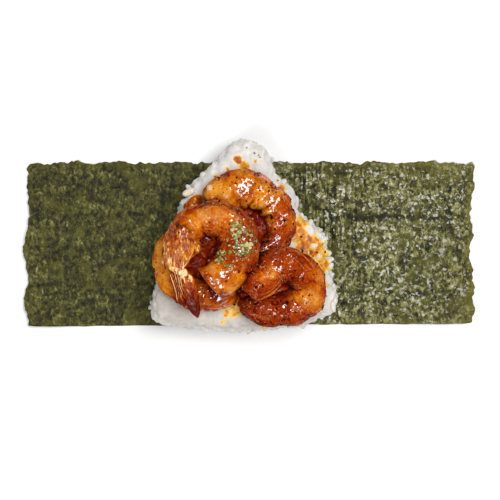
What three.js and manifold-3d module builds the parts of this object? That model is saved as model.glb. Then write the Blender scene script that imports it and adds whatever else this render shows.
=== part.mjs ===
// Shrimp onigiri, laid open: a strip of nori, a moulded triangle of rice on it, and four curled, glazed
// shrimp on the rice. Units are millimetres. +X runs along the strip, +Y to the triangle's apex, +Z is up.
// The origin is the middle of the strip's underside, which is the face the food rests on.
import * as THREE from "three";
import { MeshSurfaceSampler } from "three/addons/math/MeshSurfaceSampler.js";
import { mergeVertices } from "three/addons/utils/BufferGeometryUtils.js";
import Module from "manifold-3d";

const wasm = await Module();
wasm.setup();

// ---------------------------------------------------------------- driving dimensions

const GAP = 0.3; // left between pieces that touch
const SLIVER = 0.02; // features smaller than this are smoothed away

// A full sheet of nori is 210 x 190 mm; this strip is a third of one.
const NORI = {
  length: 190,
  width: 70,
  thickness: 0.4,
  cell: [6.5, 7.0], // grid pitch along and across
  flatHalf: 44, // the rice presses the strip flat this far out from the middle
  lift: 1.9, // the free ends stand this far off the table at most
  ragged: 0.6, // unevenness of the torn edges
  lowerRise: 1.3, // the cut lower edge runs up this much towards the right
  cornerRadius: 3,
};

const RICE = {
  bottom: NORI.thickness + GAP,
  thickness: 22,
  edge: 5, // rounding between the sides and the two faces
  dome: 0.5, // rise of the top face at its middle
  corners: [[25.4, -22.4], [-1.8, 32.9], [-30.0, -23.5]], // centres of the rounded corners, anticlockwise
  cornerRadius: 10.6,
  bulge: [3.4, 4.8, 2.4], // how far the right, left and bottom sides swell
  unevenness: [ // where the sides stand out or, with a negative reach, draw in
    { at: [30.5, 2], reach: 2.4, size: 7 },
    { at: [25, 15], reach: -3.6, size: 5 },
    { at: [12.5, 29], reach: -2.4, size: 6 },
    { at: [-19.5, 28], reach: 1.2, size: 4 },
    { at: [-24, 23], reach: 2.2, size: 4 },
    { at: [-28, 16.5], reach: 1.8, size: 3.5 },
    { at: [-39.6, -31], reach: 2.2, size: 4 },
    { at: [30, -33], reach: -2.0, size: 4 },
  ],
  outlinePoints: 46,
};
const RICE_TOP = RICE.bottom + RICE.thickness;

const GRAIN = {
  length: 6.1,
  width: 2.9,
  thickness: 2.4,
  sizeSpread: 0.08, // grains are this much smaller or larger than the mean, as a share
  sunk: 0.4, // how deep a grain's middle plane lies, as a share of its thickness
  tilt: 8, // degrees off the surface
  count: 160,
  spacing: 4.9,
};

// Each shrimp lies on its side, curled round `centre`. From head end to tail, evenly spaced along the curl:
// radius of the curl, height of the middle above the table, half depth (back to belly) and half width.
// `slant` is how much further the belly side reaches than the back where the head was cut off.
const SHRIMPS = [
  {
    name: "shrimp_over", centre: [-15.1, -0.7], from: -91, sweep: 306, slant: 0.75,
    radius: [15.2, 12.3, 11.5, 11.6, 11.7, 11.4, 12.2, 12.8, 15.3],
    height: [39.6, 39.9, 40.1, 40.2, 39.2], deep: [7.1, 7.5, 7.2, 6.3, 4.7], wide: [6.2, 6.3, 6.0, 5.3, 4.2],
  },
  {
    name: "shrimp_under", centre: [-19.0, -7.0], from: -46, sweep: -252, slant: 0,
    radius: [14.6, 13.3, 13.7, 12.6, 8.6],
    height: [28.3, 28.5, 28.5, 28.3, 28.0], deep: [6.8, 6.9, 6.9, 6.0, 4.6], wide: [5.9, 6.0, 5.9, 5.3, 4.3],
  },
  {
    name: "shrimp_apex", centre: [-1.0, 11.0], from: 156, sweep: -222, slant: 0.3,
    radius: [15.8, 14.6, 13.4, 11.7, 11.2, 12.4, 13.8, 15.6, 15.0],
    height: [29.2, 29.1, 29.0, 28.7, 28.2], deep: [6.6, 7.3, 6.6, 6.4, 5.0], wide: [6.2, 6.5, 6.3, 5.7, 4.4],
  },
  {
    name: "shrimp_corner", centre: [14.5, -19.0], from: 186, sweep: -352, slant: 0.8,
    radius: [13.4, 9.7, 10.9, 11.1, 10.7, 9.7, 8.6, 11.2, 16.6],
    height: [38.0, 35.4, 30.0, 28.2, 27.6],
    deep: [5.2, 7.0, 6.6, 6.3, 6.2, 6.1, 5.8, 5.2, 4.3], wide: [5.2, 5.9, 5.8, 5.3, 4.2],
  },
];
const SEGMENTS = 6; // of a shrimp's abdomen
const RINGS_PER_SEGMENT = 4;
const BODY_SIDES = 12;
const SEGMENT_RELIEF = 0.12; // how much the back swells between two grooves, as a share of its depth
const GROOVE_LEVEL = 0.6; // the part of the relief that is cut in rather than standing out
const SIDE_RELIEF = 0.5; // the relief of the shrimp's sides, as a share of the back's
const BELLY_FLATNESS = 0.1; // how much shallower the inside of the curl is
const SLANT_REACH = 0.1; // the share of the length over which the slanted head end straightens out
const HEAD_CAP = [[1.9, 0.5], [1.2, 0.84], [0.4, 0.97]]; // [distance past the end, share of the section]
const TAIL_CAP = [[1.1, 0.6], [0.5, 0.9]];
const HALVES = [[0, 0.5], [0.46, 1]]; // the two stretches that a body is joined from

// The uppermost shrimp keeps the shell of its last segment and its tail fan.
const TAIL_SHELL = { from: 0.79, steps: 5, thickness: 0.7, flare: 0.16, hollow: 0.015 };
const TAIL_BLADES = [
  { root: [-27.0, -10.2], tip: [-20.6, -30.2], width: 8.2, height: [38.9, 36.4] },
  { root: [-30.6, -8.8], tip: [-25.4, -26.6], width: 7.2, height: [38.0, 35.4] },
  { root: [-28.8, -9.0], tip: [-25.0, -22.6], width: 3.6, height: [40.2, 37.8] },
];
const BLADE = { thickness: 0.9, rootShare: 0.5, bellies: [1.5, 1.4], bellyAt: [0.6, 0.55], curvePoints: 6 };

// Dried parsley: the flakes large enough to feel, on the back of the uppermost shrimp.
const PARSLEY = {
  count: 14,
  radius: [0.8, 1.5],
  narrow: 0.6, // width over length
  thickness: 0.9,
  along: [0.24, 0.43], // where on the body, from head end to tail
  across: [35, 125], // degrees round the body, from the back
};

// ---------------------------------------------------------------- helpers

// A repeatable random number generator, 0 to 1.
function randomFrom(seed) {
  let state = seed;
  return () => {
    state = (state + 0x6d2b79f5) | 0;
    let t = Math.imul(state ^ (state >>> 15), 1 | state);
    t = (t + Math.imul(t ^ (t >>> 7), 61 | t)) ^ t;
    return ((t ^ (t >>> 14)) >>> 0) / 4294967296;
  };
}

// The value at t, 0 to 1, of a smooth curve through evenly spaced values. It is held beyond the ends.
function along(values, t) {
  const points = values.map((value, i) => new THREE.Vector2(i, value));
  return new THREE.SplineCurve(points).getPoint(THREE.MathUtils.clamp(t, 0, 1)).y;
}

function toSolid(geometry) {
  const bare = geometry.clone().deleteAttribute("normal").deleteAttribute("uv");
  const merged = mergeVertices(bare, 1e-4);
  return new wasm.Manifold(new wasm.Mesh({
    numProp: 3,
    vertProperties: new Float32Array(merged.attributes.position.array),
    triVerts: new Uint32Array(merged.index.array),
  }));
}

function toGeometry(solid) {
  const { vertProperties, triVerts } = solid.getMesh();
  const geometry = new THREE.BufferGeometry();
  geometry.setAttribute("position", new THREE.BufferAttribute(new Float32Array(vertProperties), 3));
  geometry.setIndex(new THREE.BufferAttribute(new Uint32Array(triVerts), 1));
  geometry.computeVertexNormals();
  return geometry;
}

// The largest body of a solid: what a cut leaves loose is dropped.
function largest(solid) {
  return solid.decompose().sort((a, b) => b.volume() - a.volume())[0];
}

// A closed geometry through rings of points, each ring anticlockwise when seen from the last ring's end.
function loft(rings, firstTip, lastTip) {
  const sides = rings[0].length;
  const positions = [...rings.flat(), firstTip, lastTip].flatMap((p) => [p.x, p.y, p.z]);
  const first = rings.length * sides;
  const last = first + 1;
  const lastRing = first - sides;
  const index = [];
  for (let side = 0; side < sides; side++) {
    const next = (side + 1) % sides;
    for (let ring = 0; ring < rings.length - 1; ring++) {
      const [low, high] = [ring * sides, (ring + 1) * sides];
      index.push(low + side, low + next, high + next, low + side, high + next, high + side);
    }
    index.push(first, next, side, last, lastRing + side, lastRing + next);
  }
  const geometry = new THREE.BufferGeometry();
  geometry.setAttribute("position", new THREE.Float32BufferAttribute(positions, 3));
  geometry.setIndex(index);
  return geometry;
}

// ---------------------------------------------------------------- nori

// The strip's height off the table: nothing under the rice, a slow wave on the free ends.
function noriLift(x, y) {
  const free = THREE.MathUtils.smoothstep(Math.abs(x), NORI.flatHalf, NORI.length / 2);
  const wave = 0.5 + 0.28 * Math.sin(0.12 * x + 0.05 * y + 0.6) + 0.22 * Math.sin(0.16 * y - 0.07 * x);
  return NORI.lift * free * wave;
}

// How far a torn edge strays at the length s along it.
function raggedEdge(s) {
  const waves = 0.5 * Math.sin(0.29 * s + 1.1) + 0.3 * Math.sin(0.71 * s) + 0.2 * Math.sin(1.7 * s + 2);
  return NORI.ragged * waves;
}

// Where a point of the plain rectangle lies on the torn strip, u and v running from -1 to 1. An edge's
// shape dies away inwards. The lower long edge is a straight cut.
function noriPoint(u, v) {
  const [x, y] = [(u * NORI.length) / 2, (v * NORI.width) / 2];
  const endShift = Math.abs(u) ** 8 * Math.sign(u) * raggedEdge(y + 40 * Math.sign(u));
  const topShift = Math.max(v, 0) ** 8 * raggedEdge(x + 13);
  const lowerShift = Math.max(-v, 0) * NORI.lowerRise * (u + 1) / 2;
  const corner = NORI.cornerRadius * (1 - Math.SQRT1_2) * Math.abs(u * v) ** 24;
  return [x + endShift - corner * Math.sign(u), y + topShift + lowerShift - corner * Math.sign(v)];
}

// Both faces share one triangulation, so the sheet has the same thickness everywhere.
function noriSheet() {
  const columns = Math.round(NORI.length / NORI.cell[0]);
  const rows = Math.round(NORI.width / NORI.cell[1]);
  const stride = columns + 1;
  const top = stride * (rows + 1);
  const positions = [];
  for (const face of [0, 1]) {
    for (let row = 0; row <= rows; row++) {
      for (let column = 0; column <= columns; column++) {
        const [x, y] = noriPoint((2 * column) / columns - 1, (2 * row) / rows - 1);
        positions.push(x, y, noriLift(x, y) + face * NORI.thickness);
      }
    }
  }
  const index = [];
  for (let row = 0; row < rows; row++) {
    for (let column = 0; column < columns; column++) {
      const a = row * stride + column;
      const [b, c, d] = [a + 1, a + stride + 1, a + stride];
      index.push(a, c, b, a, d, c); // underside
      index.push(top + a, top + b, top + c, top + a, top + c, top + d);
    }
  }
  const rim = [];
  for (let column = 0; column < columns; column++) rim.push(column);
  for (let row = 0; row < rows; row++) rim.push(row * stride + columns);
  for (let column = columns; column > 0; column--) rim.push(rows * stride + column);
  for (let row = rows; row > 0; row--) rim.push(row * stride);
  rim.forEach((a, i) => {
    const b = rim[(i + 1) % rim.length];
    index.push(a, b, top + b, a, top + b, top + a);
  });
  const geometry = new THREE.BufferGeometry();
  geometry.setAttribute("position", new THREE.Float32BufferAttribute(positions, 3));
  geometry.setIndex(index);
  geometry.computeVertexNormals();
  return geometry;
}

// ---------------------------------------------------------------- rice

// The triangle seen from above: an arc round each corner, a swelling side between each two.
function riceOutline() {
  const path = new THREE.Path();
  const corners = RICE.corners.map(([x, y]) => new THREE.Vector2(x, y));
  const normalFrom = (i) => {
    const side = corners[(i + 1) % 3].clone().sub(corners[i % 3]).normalize();
    return new THREE.Vector2(side.y, -side.x);
  };
  corners.forEach((corner, i) => {
    const next = corners[(i + 1) % 3];
    const normal = normalFrom(i);
    const start = corner.clone().addScaledVector(normal, RICE.cornerRadius);
    const end = next.clone().addScaledVector(normal, RICE.cornerRadius);
    const control = start.clone().lerp(end, 0.5).addScaledVector(normal, 2 * RICE.bulge[i]);
    if (i === 0) path.moveTo(start.x, start.y);
    path.quadraticCurveTo(control.x, control.y, end.x, end.y);
    path.absarc(next.x, next.y, RICE.cornerRadius, normal.angle(), normalFrom(i + 1).angle(), false);
  });
  return path.getSpacedPoints(RICE.outlinePoints).slice(0, -1);
}

// The pressed rice without its separate grains.
function riceCore() {
  const outline = riceOutline();
  const normals = outline.map((_, i) => {
    const chord = outline[(i + 1) % outline.length].clone().sub(outline.at(i - 1)).normalize();
    return new THREE.Vector2(chord.y, -chord.x);
  });
  const swellAt = (point) => RICE.unevenness.reduce((sum, { at, reach, size }) => (
    sum + reach * Math.exp(-((point.distanceTo(new THREE.Vector2(...at)) / size) ** 2))
  ), 0);
  const ring = (degrees, z) => outline.map((point, i) => {
    const inset = RICE.edge * (1 - Math.cos(THREE.MathUtils.degToRad(degrees)));
    const outward = swellAt(point) - inset - GRAIN.thickness / 3;
    const moved = point.clone().addScaledVector(normals[i], outward);
    return new THREE.Vector3(moved.x, moved.y, z + RICE.edge * Math.sin(THREE.MathUtils.degToRad(degrees)));
  });
  const rings = [
    ...[-90, -45, 0].map((degrees) => ring(degrees, RICE.bottom + RICE.edge)),
    ...[0, 45, 90].map((degrees) => ring(degrees, RICE_TOP - RICE.edge)),
  ];
  const middle = new THREE.Vector2();
  outline.forEach((point) => middle.addScaledVector(point, 1 / outline.length));
  return loft(
    rings,
    new THREE.Vector3(middle.x, middle.y, RICE.bottom),
    new THREE.Vector3(middle.x, middle.y, RICE_TOP + RICE.dome),
  );
}

// One cooked grain of short-grain rice, long in X, with a ridge on top.
function grainGeometry() {
  const grain = new THREE.SphereGeometry(0.5, 4, 3).rotateZ(Math.PI / 2);
  return grain.scale(GRAIN.length, GRAIN.width, GRAIN.thickness);
}

// Grains half sunk in the core, evenly spread over the sides and the open part of the top. None faces
// the table, and one that would reach into `keepClear` is left out.
function riceWithGrains(keepClear) {
  const core = riceCore();
  core.computeVertexNormals();
  const random = randomFrom(7);
  const signed = () => 2 * random() - 1;
  const sampler = new MeshSurfaceSampler(new THREE.Mesh(core)).setRandomGenerator(random).build();
  const [point, normal] = [new THREE.Vector3(), new THREE.Vector3()];
  const tilt = THREE.MathUtils.degToRad(GRAIN.tilt);
  const lowest = RICE.bottom + GRAIN.length / 3;
  const placed = [];
  const solids = [toSolid(core)];
  for (let tries = 0; tries < 60 * GRAIN.count && placed.length < GRAIN.count; tries++) {
    sampler.sample(point, normal);
    if (point.z < lowest || normal.z < -0.5) continue;
    if (placed.some((other) => other.distanceTo(point) < GRAIN.spacing)) continue;
    const lying = new THREE.Quaternion().setFromUnitVectors(new THREE.Vector3(0, 0, 1), normal);
    const turned = new THREE.Euler(tilt * signed(), tilt * signed(), Math.PI * signed(), "ZYX");
    const place = new THREE.Matrix4().compose(
      point.clone().addScaledVector(normal, (0.5 - GRAIN.sunk) * GRAIN.thickness),
      lying.multiply(new THREE.Quaternion().setFromEuler(turned)),
      new THREE.Vector3().setScalar(1 + GRAIN.sizeSpread * signed()),
    );
    const grain = toSolid(grainGeometry().applyMatrix4(place));
    if (!grain.intersect(keepClear).isEmpty()) continue;
    placed.push(point.clone());
    solids.push(grain);
  }
  return largest(wasm.Manifold.union(solids)).simplify(SLIVER);
}

// ---------------------------------------------------------------- shrimp

// The middle of a shrimp's body at t, 0 at the head end and 1 at the tail.
function shrimpMiddle(shrimp, t) {
  const angle = THREE.MathUtils.degToRad(shrimp.from + shrimp.sweep * t);
  const radius = along(shrimp.radius, t);
  return new THREE.Vector3(
    shrimp.centre[0] + radius * Math.cos(angle),
    shrimp.centre[1] + radius * Math.sin(angle),
    along(shrimp.height, t),
  );
}

// Directions at t: towards the tail, out to the back of the shrimp, and up across its side.
function shrimpFrame(shrimp, t) {
  const step = 0.005;
  const middle = shrimpMiddle(shrimp, t);
  const tailward = shrimpMiddle(shrimp, t + step).sub(shrimpMiddle(shrimp, t - step)).normalize();
  const outward = new THREE.Vector3(middle.x - shrimp.centre[0], middle.y - shrimp.centre[1], 0);
  outward.addScaledVector(tailward, -outward.dot(tailward)).normalize();
  const up = new THREE.Vector3().crossVectors(outward, tailward).multiplyScalar(Math.sign(shrimp.sweep));
  return { middle, tailward, outward, up };
}

// A point on the skin: `around` is 0 at the back and a quarter turn at the upper side. `share` scales the
// section and `grow` is added all round.
function shrimpSkin(shrimp, t, around, share = 1, grow = 0) {
  const { middle, tailward, outward, up } = shrimpFrame(shrimp, t);
  const groove = Math.sqrt(Math.abs(Math.sin(Math.PI * SEGMENTS * t))) - GROOVE_LEVEL;
  const relief = SEGMENT_RELIEF * groove * THREE.MathUtils.lerp(SIDE_RELIEF, 1, Math.cos(around) ** 2);
  const belly = 1 - BELLY_FLATNESS * Math.max(0, -Math.cos(around));
  const deep = share * (1 + relief) * belly * along(shrimp.deep, t) + grow;
  const wide = share * (1 + relief) * along(shrimp.wide, t) + grow;
  const slant = shrimp.slant * Math.max(0, 1 - t / SLANT_REACH);
  return middle
    .addScaledVector(outward, Math.cos(around) * deep)
    .addScaledVector(up, Math.sin(around) * wide)
    .addScaledVector(tailward, slant * Math.cos(around) * deep);
}

// The ring of skin at t, moved `distance` towards the tail.
function shrimpRing(shrimp, t, share, grow, distance = 0) {
  const { tailward } = shrimpFrame(shrimp, t);
  const turn = -Math.sign(shrimp.sweep) * ((2 * Math.PI) / BODY_SIDES);
  const ring = [];
  for (let side = 0; side < BODY_SIDES; side++) {
    ring.push(shrimpSkin(shrimp, t, side * turn, share, grow).addScaledVector(tailward, distance));
  }
  return ring;
}

// A stretch of the body with rounded ends.
function shrimpStretch(shrimp, start, end, grow) {
  const steps = Math.round(SEGMENTS * RINGS_PER_SEGMENT * (end - start));
  const rings = HEAD_CAP.map(([past, share]) => shrimpRing(shrimp, start, share, grow, -past - grow));
  for (let step = 0; step <= steps; step++) {
    rings.push(shrimpRing(shrimp, THREE.MathUtils.lerp(start, end, step / steps), 1, grow));
  }
  rings.push(...TAIL_CAP.map(([past, share]) => shrimpRing(shrimp, end, share, grow, past + grow)).reverse());
  const tip = (t, distance) => {
    const { middle, tailward } = shrimpFrame(shrimp, t);
    return middle.addScaledVector(tailward, distance);
  };
  return toSolid(loft(rings, tip(start, -HEAD_CAP[0][0] - grow), tip(end, TAIL_CAP[0][0] + grow)));
}

// The stretches are joined, so that a curl of nearly a full turn may rest on itself.
function shrimpBody(shrimp, grow = 0) {
  return wasm.Manifold.union(HALVES.map(([start, end]) => shrimpStretch(shrimp, start, end, grow)));
}

// The shell of the last segment: a sleeve that flares where the tail fan comes out.
function tailShell(shrimp, grow) {
  const rings = [];
  for (let step = 0; step <= TAIL_SHELL.steps; step++) {
    const share = step / TAIL_SHELL.steps;
    const t = THREE.MathUtils.lerp(TAIL_SHELL.from, 1, share);
    rings.push(shrimpRing(shrimp, t, 1 + TAIL_SHELL.flare * share, TAIL_SHELL.thickness + grow));
  }
  const [front, mouth] = [TAIL_SHELL.from, 1 - TAIL_SHELL.hollow];
  return toSolid(loft(rings, shrimpMiddle(shrimp, front), shrimpMiddle(shrimp, mouth)));
}

// One blade of the tail fan: a long leaf, a little pointed, laid from root to tip.
function tailBlade({ root, tip, width, height }, grow) {
  const from = new THREE.Vector3(...root, height[0]);
  const to = new THREE.Vector3(...tip, height[1]);
  const length = from.distanceTo(to) + grow;
  const half = width / 2 + grow;
  const depth = BLADE.thickness + 2 * grow;
  const leaf = new THREE.Shape();
  leaf.moveTo(-grow, -BLADE.rootShare * half);
  leaf.quadraticCurveTo(BLADE.bellyAt[0] * length, -BLADE.bellies[0] * half, length, 0);
  leaf.quadraticCurveTo(BLADE.bellyAt[1] * length, BLADE.bellies[1] * half, -grow, BLADE.rootShare * half);
  const options = { depth, bevelEnabled: false, curveSegments: BLADE.curvePoints };
  const blade = new THREE.ExtrudeGeometry(leaf, options).translate(0, 0, -depth / 2);
  const forward = to.clone().sub(from).normalize();
  const across = new THREE.Vector3(0, 0, 1).cross(forward).normalize();
  const upward = forward.clone().cross(across);
  const place = new THREE.Matrix4().makeBasis(forward, across, upward).setPosition(from);
  return toSolid(blade.applyMatrix4(place));
}

// Parsley flakes lying flat on the skin of a shrimp's upper side.
function parsleyFlakes(shrimp, grow) {
  const random = randomFrom(23);
  const between = ([low, high]) => THREE.MathUtils.lerp(low, high, random());
  const flakes = [];
  for (let i = 0; i < PARSLEY.count; i++) {
    const t = between(PARSLEY.along);
    const around = THREE.MathUtils.degToRad(between(PARSLEY.across));
    const radius = between(PARSLEY.radius);
    const at = shrimpSkin(shrimp, t, around);
    const normal = at.clone().sub(shrimpMiddle(shrimp, t)).normalize();
    at.addScaledVector(normal, PARSLEY.thickness / 4);
    const disc = new THREE.CylinderGeometry(radius + grow, radius + grow, PARSLEY.thickness + 2 * grow, 5);
    disc.scale(1, 1, PARSLEY.narrow).rotateY(2 * Math.PI * random());
    const upright = new THREE.Quaternion().setFromUnitVectors(new THREE.Vector3(0, 1, 0), normal);
    flakes.push(toSolid(disc.applyQuaternion(upright).translate(at.x, at.y, at.z)));
  }
  return flakes;
}

// A shrimp with its tail and its parsley.
function dressedShrimp(shrimp, grow = 0) {
  return wasm.Manifold.union([
    shrimpBody(shrimp, grow),
    tailShell(shrimp, grow),
    ...TAIL_BLADES.map((blade) => tailBlade(blade, grow)),
    ...parsleyFlakes(shrimp, grow),
  ]);
}

// ---------------------------------------------------------------- assembly

const LOOKS = {
  nori: { color: 0x4a4a2a, roughness: 0.45, metalness: 0 },
  rice: { color: 0xe6e1da, roughness: 0.5, metalness: 0 },
  shrimp: { color: 0xc06a16, roughness: 0.25, metalness: 0 },
};

function piece(name, geometry, look) {
  const mesh = new THREE.Mesh(geometry, new THREE.MeshStandardMaterial(look));
  mesh.name = name;
  return mesh;
}

const onigiri = new THREE.Group();
onigiri.add(piece("nori_sheet", noriSheet(), LOOKS.nori));

// The uppermost shrimp is whole. Each one below it is pressed in where it meets those before it.
const [over, ...others] = SHRIMPS;
onigiri.add(piece(over.name, toGeometry(largest(dressedShrimp(over))), LOOKS.shrimp));

const riceBelow = toSolid(riceCore().translate(0, 0, GAP));
const pressing = [dressedShrimp(over, GAP)];
for (const shrimp of others) {
  const pressed = wasm.Manifold.difference([shrimpBody(shrimp), ...pressing, riceBelow]);
  onigiri.add(piece(shrimp.name, toGeometry(largest(pressed)), LOOKS.shrimp));
  pressing.push(shrimpBody(shrimp, GAP));
}

const rice = riceWithGrains(wasm.Manifold.union(pressing));
onigiri.add(piece("rice_triangle", toGeometry(rice), LOOKS.rice));

export default onigiri;
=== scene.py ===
import math

import bpy
import numpy as np
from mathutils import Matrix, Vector


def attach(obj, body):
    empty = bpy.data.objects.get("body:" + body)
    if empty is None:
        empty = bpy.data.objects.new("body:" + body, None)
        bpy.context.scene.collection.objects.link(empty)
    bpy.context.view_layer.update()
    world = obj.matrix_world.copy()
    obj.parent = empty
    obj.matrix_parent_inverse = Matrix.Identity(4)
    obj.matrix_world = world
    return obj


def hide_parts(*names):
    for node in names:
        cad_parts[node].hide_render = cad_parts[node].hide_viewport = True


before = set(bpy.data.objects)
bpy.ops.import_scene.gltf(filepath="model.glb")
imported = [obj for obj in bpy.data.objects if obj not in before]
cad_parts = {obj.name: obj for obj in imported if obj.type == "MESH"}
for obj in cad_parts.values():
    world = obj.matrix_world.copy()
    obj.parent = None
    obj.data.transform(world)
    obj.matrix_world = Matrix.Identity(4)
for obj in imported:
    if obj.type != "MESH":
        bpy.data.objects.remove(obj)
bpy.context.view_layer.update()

# Shrimp onigiri laid open on a strip of nori. Lengths are millimetres, in the frame of the CAD model, and
# become metres where a mesh is made. Spots are given as seen from above, angles in degrees.
MM = 0.001

# ---------------------------------------------------------------- dimensions, as in the CAD model

NORI = dict(length=190, width=70, thickness=0.4, flat_half=44, lift=1.9, ragged=0.6, lower_rise=1.3,
            corner_radius=3, cell=0.8)
# Unevenness: x, y, how far the outline swells there and how wide.
RICE = dict(bottom=0.7, thickness=22, edge=5, dome=0.5, corner_radius=10.6, bulge=(3.4, 4.8, 2.4),
            corners=((25.4, -22.4), (-1.8, 32.9), (-30, -23.5)), inset=0.8,
            unevenness=((30.5, 2, 2.4, 7), (25, 15, -3.6, 5), (12.5, 29, -2.4, 6), (-19.5, 28, 1.2, 4),
                        (-24, 23, 2.2, 4), (-28, 16.5, 1.8, 3.5), (-39.6, -31, 2.2, 4), (30, -33, -2, 4)))
RICE_TOP = RICE["bottom"] + RICE["thickness"]
GRAIN = dict(length=6.1, width=2.9, thickness=2.4)

# From head end to tail, evenly spaced along the curl: radius, height of the middle, half depth, half width,
# how plump the belly is, and `tone`, how red the glaze is: 0 is pale gold and 1 is maroon. A curl starts at
# `start` and turns through `sweep`. `slant` is how far its head end is cut askew, `rim_red` how much redder
# its back is. Stripes, pleats and a slit run over a part of its length, the slit `at` an angle up its side.
SHRIMPS = dict(
    over=dict(
        centre=(-15.1, -0.7), start=-91, sweep=306, slant=0.75,
        radius=(15.2, 12.3, 11.5, 11.6, 11.7, 11.4, 12.2, 12.8, 15.3), height=(39.6, 39.9, 40.1, 40.2, 39.2),
        deep=(7.1, 7.5, 7.2, 6.3, 4.7), wide=(6.2, 6.3, 6, 5.3, 4.2),
        tone=(0.3, 0.38, 0.5, 0.5, 0.42, 0.34, 0.34, 0.42, 0.5), rim_red=0.14,
        belly=(1.2, 1.2, 1.3, 1.25, 1.15, 1.1, 1.15, 1.2, 1),
        slit=dict(at=36, start=0.26, end=0.7), stripes=dict(start=0.3, end=0.66)),
    under=dict(
        centre=(-19, -7), start=-46, sweep=-252, slant=0,
        radius=(14.6, 13.3, 13.7, 12.6, 8.6), height=(28.3, 28.5, 28.5, 28.3, 28),
        deep=(6.8, 6.9, 6.9, 6, 4.6), wide=(5.9, 6, 5.9, 5.3, 4.3),
        tone=(0.44, 0.42, 0.36, 0.18, 0.14, 0.2, 0.44, 0.75, 0.95), rim_red=0.1,
        belly=(1, 1), slit=dict(at=20, start=0.05, end=0.6)),
    apex=dict(
        centre=(-1, 11), start=156, sweep=-222, slant=0.3,
        radius=(14.8, 13.4, 12.9, 11.7, 11.2, 12.4, 13.8, 15.6, 15), height=(29.2, 29.1, 29, 28.7, 28.2),
        deep=(6.6, 7.3, 6.6, 6.4, 5), wide=(6.2, 6.5, 6.3, 5.7, 4.4),
        tone=(0.16, 0.17, 0.2, 0.22, 0.27, 0.4, 0.46, 0.62, 0.8), rim_red=0.12,
        belly=(1.3, 1.4, 1.45, 1.2, 1, 1, 1, 1, 1),
        pleats=dict(count=7.4, start=0.27, end=0.7), slit=dict(at=12, start=0.1, end=0.7)),
    corner=dict(
        centre=(14.5, -19), start=186, sweep=-352, slant=0.8,
        radius=(13.4, 9.7, 10.9, 11.1, 10.7, 9.7, 8.6, 11.2, 16.6), height=(38, 35.4, 30, 28.2, 27.6),
        deep=(5.2, 7, 6.6, 6.3, 6.2, 6.1, 5.8, 5.2, 4.3), wide=(5.2, 5.9, 5.8, 5.3, 4.2),
        tone=(0.52, 0.5, 0.6, 0.55, 0.46, 0.44, 0.68, 0.86, 0.9), rim_red=0.05,
        belly=(1.1, 1.15, 1.25, 1.3, 1.4, 1.5, 1.6, 1.75, 1.6), slit=dict(at=27, start=0.24, end=0.52)),
)
SEGMENTS = 6
SEGMENT_RELIEF, GROOVE_LEVEL, SIDE_RELIEF, BELLY_FLATNESS, SLANT_REACH = 0.12, 0.6, 0.5, 0.1, 0.1
BODY_LENGTH = 75
TAIL_SHELL = dict(start=0.79, thickness=0.7, flare=0.22)

# ---------------------------------------------------------------- numbers

UP = np.array([0, 0, 1.0])


def lattice(ix, iy, iz, seed):
    """A repeatable number from -1 to 1 for each whole-number place."""
    h = (ix * 374761393 + iy * 668265263 + iz * 1103515245 + seed * 1274126177) & 0xFFFFFFFF
    h = ((h ^ (h >> 13)) * 1274126177) & 0xFFFFFFFF
    return ((h ^ (h >> 16)) & 0xFFFF) / 32767.5 - 1


def lumps(points, size, seed=0):
    """Smooth random values, about -1 to 1, over 3-D points, with lumps `size` across."""
    p = np.asarray(points, float) / size
    cell = np.floor(p).astype(np.int64)
    f = p - cell
    f = f * f * (3 - 2 * f)
    total = np.zeros(p.shape[:-1])
    for steps in np.ndindex(2, 2, 2):
        share = 1.0
        for axis, step in enumerate(steps):
            share = share * (f[..., axis] if step else 1 - f[..., axis])
        total += share * lattice(*(cell[..., axis] + step for axis, step in enumerate(steps)), seed)
    return total


def layered(points, seed, *layers):
    """A sum of lumps: the strength and size of each layer, and what its seed adds to the seed."""
    return sum(strength * lumps(points, size, seed + more) for strength, size, more in layers)


def along(values, t):
    """The value at t, 0 to 1, of a smooth curve through evenly spaced values, held beyond the ends."""
    values = np.asarray(values, float)
    last = len(values) - 1
    place = np.asarray(np.clip(t, 0, 1)) * last
    i = np.minimum(np.floor(place).astype(int), last - 1)
    w = (place - i).reshape(place.shape + (1,) * (values.ndim - 1))
    before, here = values[np.maximum(i - 1, 0)], values[i]
    after, beyond = values[i + 1], values[np.minimum(i + 2, last)]
    out, into = (after - before) / 2, (beyond - here) / 2
    return ((2 * here - 2 * after + out + into) * w**3
            + (3 * after - 3 * here - 2 * out - into) * w**2 + out * w + here)


def smoothstep(x, low, high):
    s = np.clip((x - low) / (high - low), 0, 1)
    return s * s * (3 - 2 * s)


def between(x, start, end, fade):
    """1 from start to end, fading to 0 over a stretch at either end."""
    return smoothstep(x, start, start + fade) * (1 - smoothstep(x, end - fade, end))


def bell(x, middle, width):
    return np.exp(-((x - middle) / width)**2)


def unit(vectors):
    return vectors / np.maximum(np.linalg.norm(vectors, axis=-1, keepdims=True), 1e-12)


def space(x, y, z=0.0):
    """Points from their coordinates."""
    return np.stack(np.broadcast_arrays(x, y, z), -1)


def turns(count):
    """Angles evenly spaced round a circle."""
    return np.linspace(0, 2 * math.pi, count, endpoint=False)


def far(points, x, y, radius=1):
    """How many radii points are from a spot, seen from above."""
    return np.linalg.norm(points[..., :2] - (x, y), axis=-1) / radius


def spots_at(spots, points):
    """A value that is 1 at the middle of each spot and dies away beyond its radius."""
    total = np.zeros(points.shape[:-1])
    for x, y, radius, *_ in spots:
        total = np.maximum(total, np.exp(-far(points, x, y, radius)**2))
    return total


# ---------------------------------------------------------------- meshes


def linked(name, data):
    """A new object in the scene."""
    thing = bpy.data.objects.new(name, data)
    bpy.context.scene.collection.objects.link(thing)
    return thing


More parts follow.
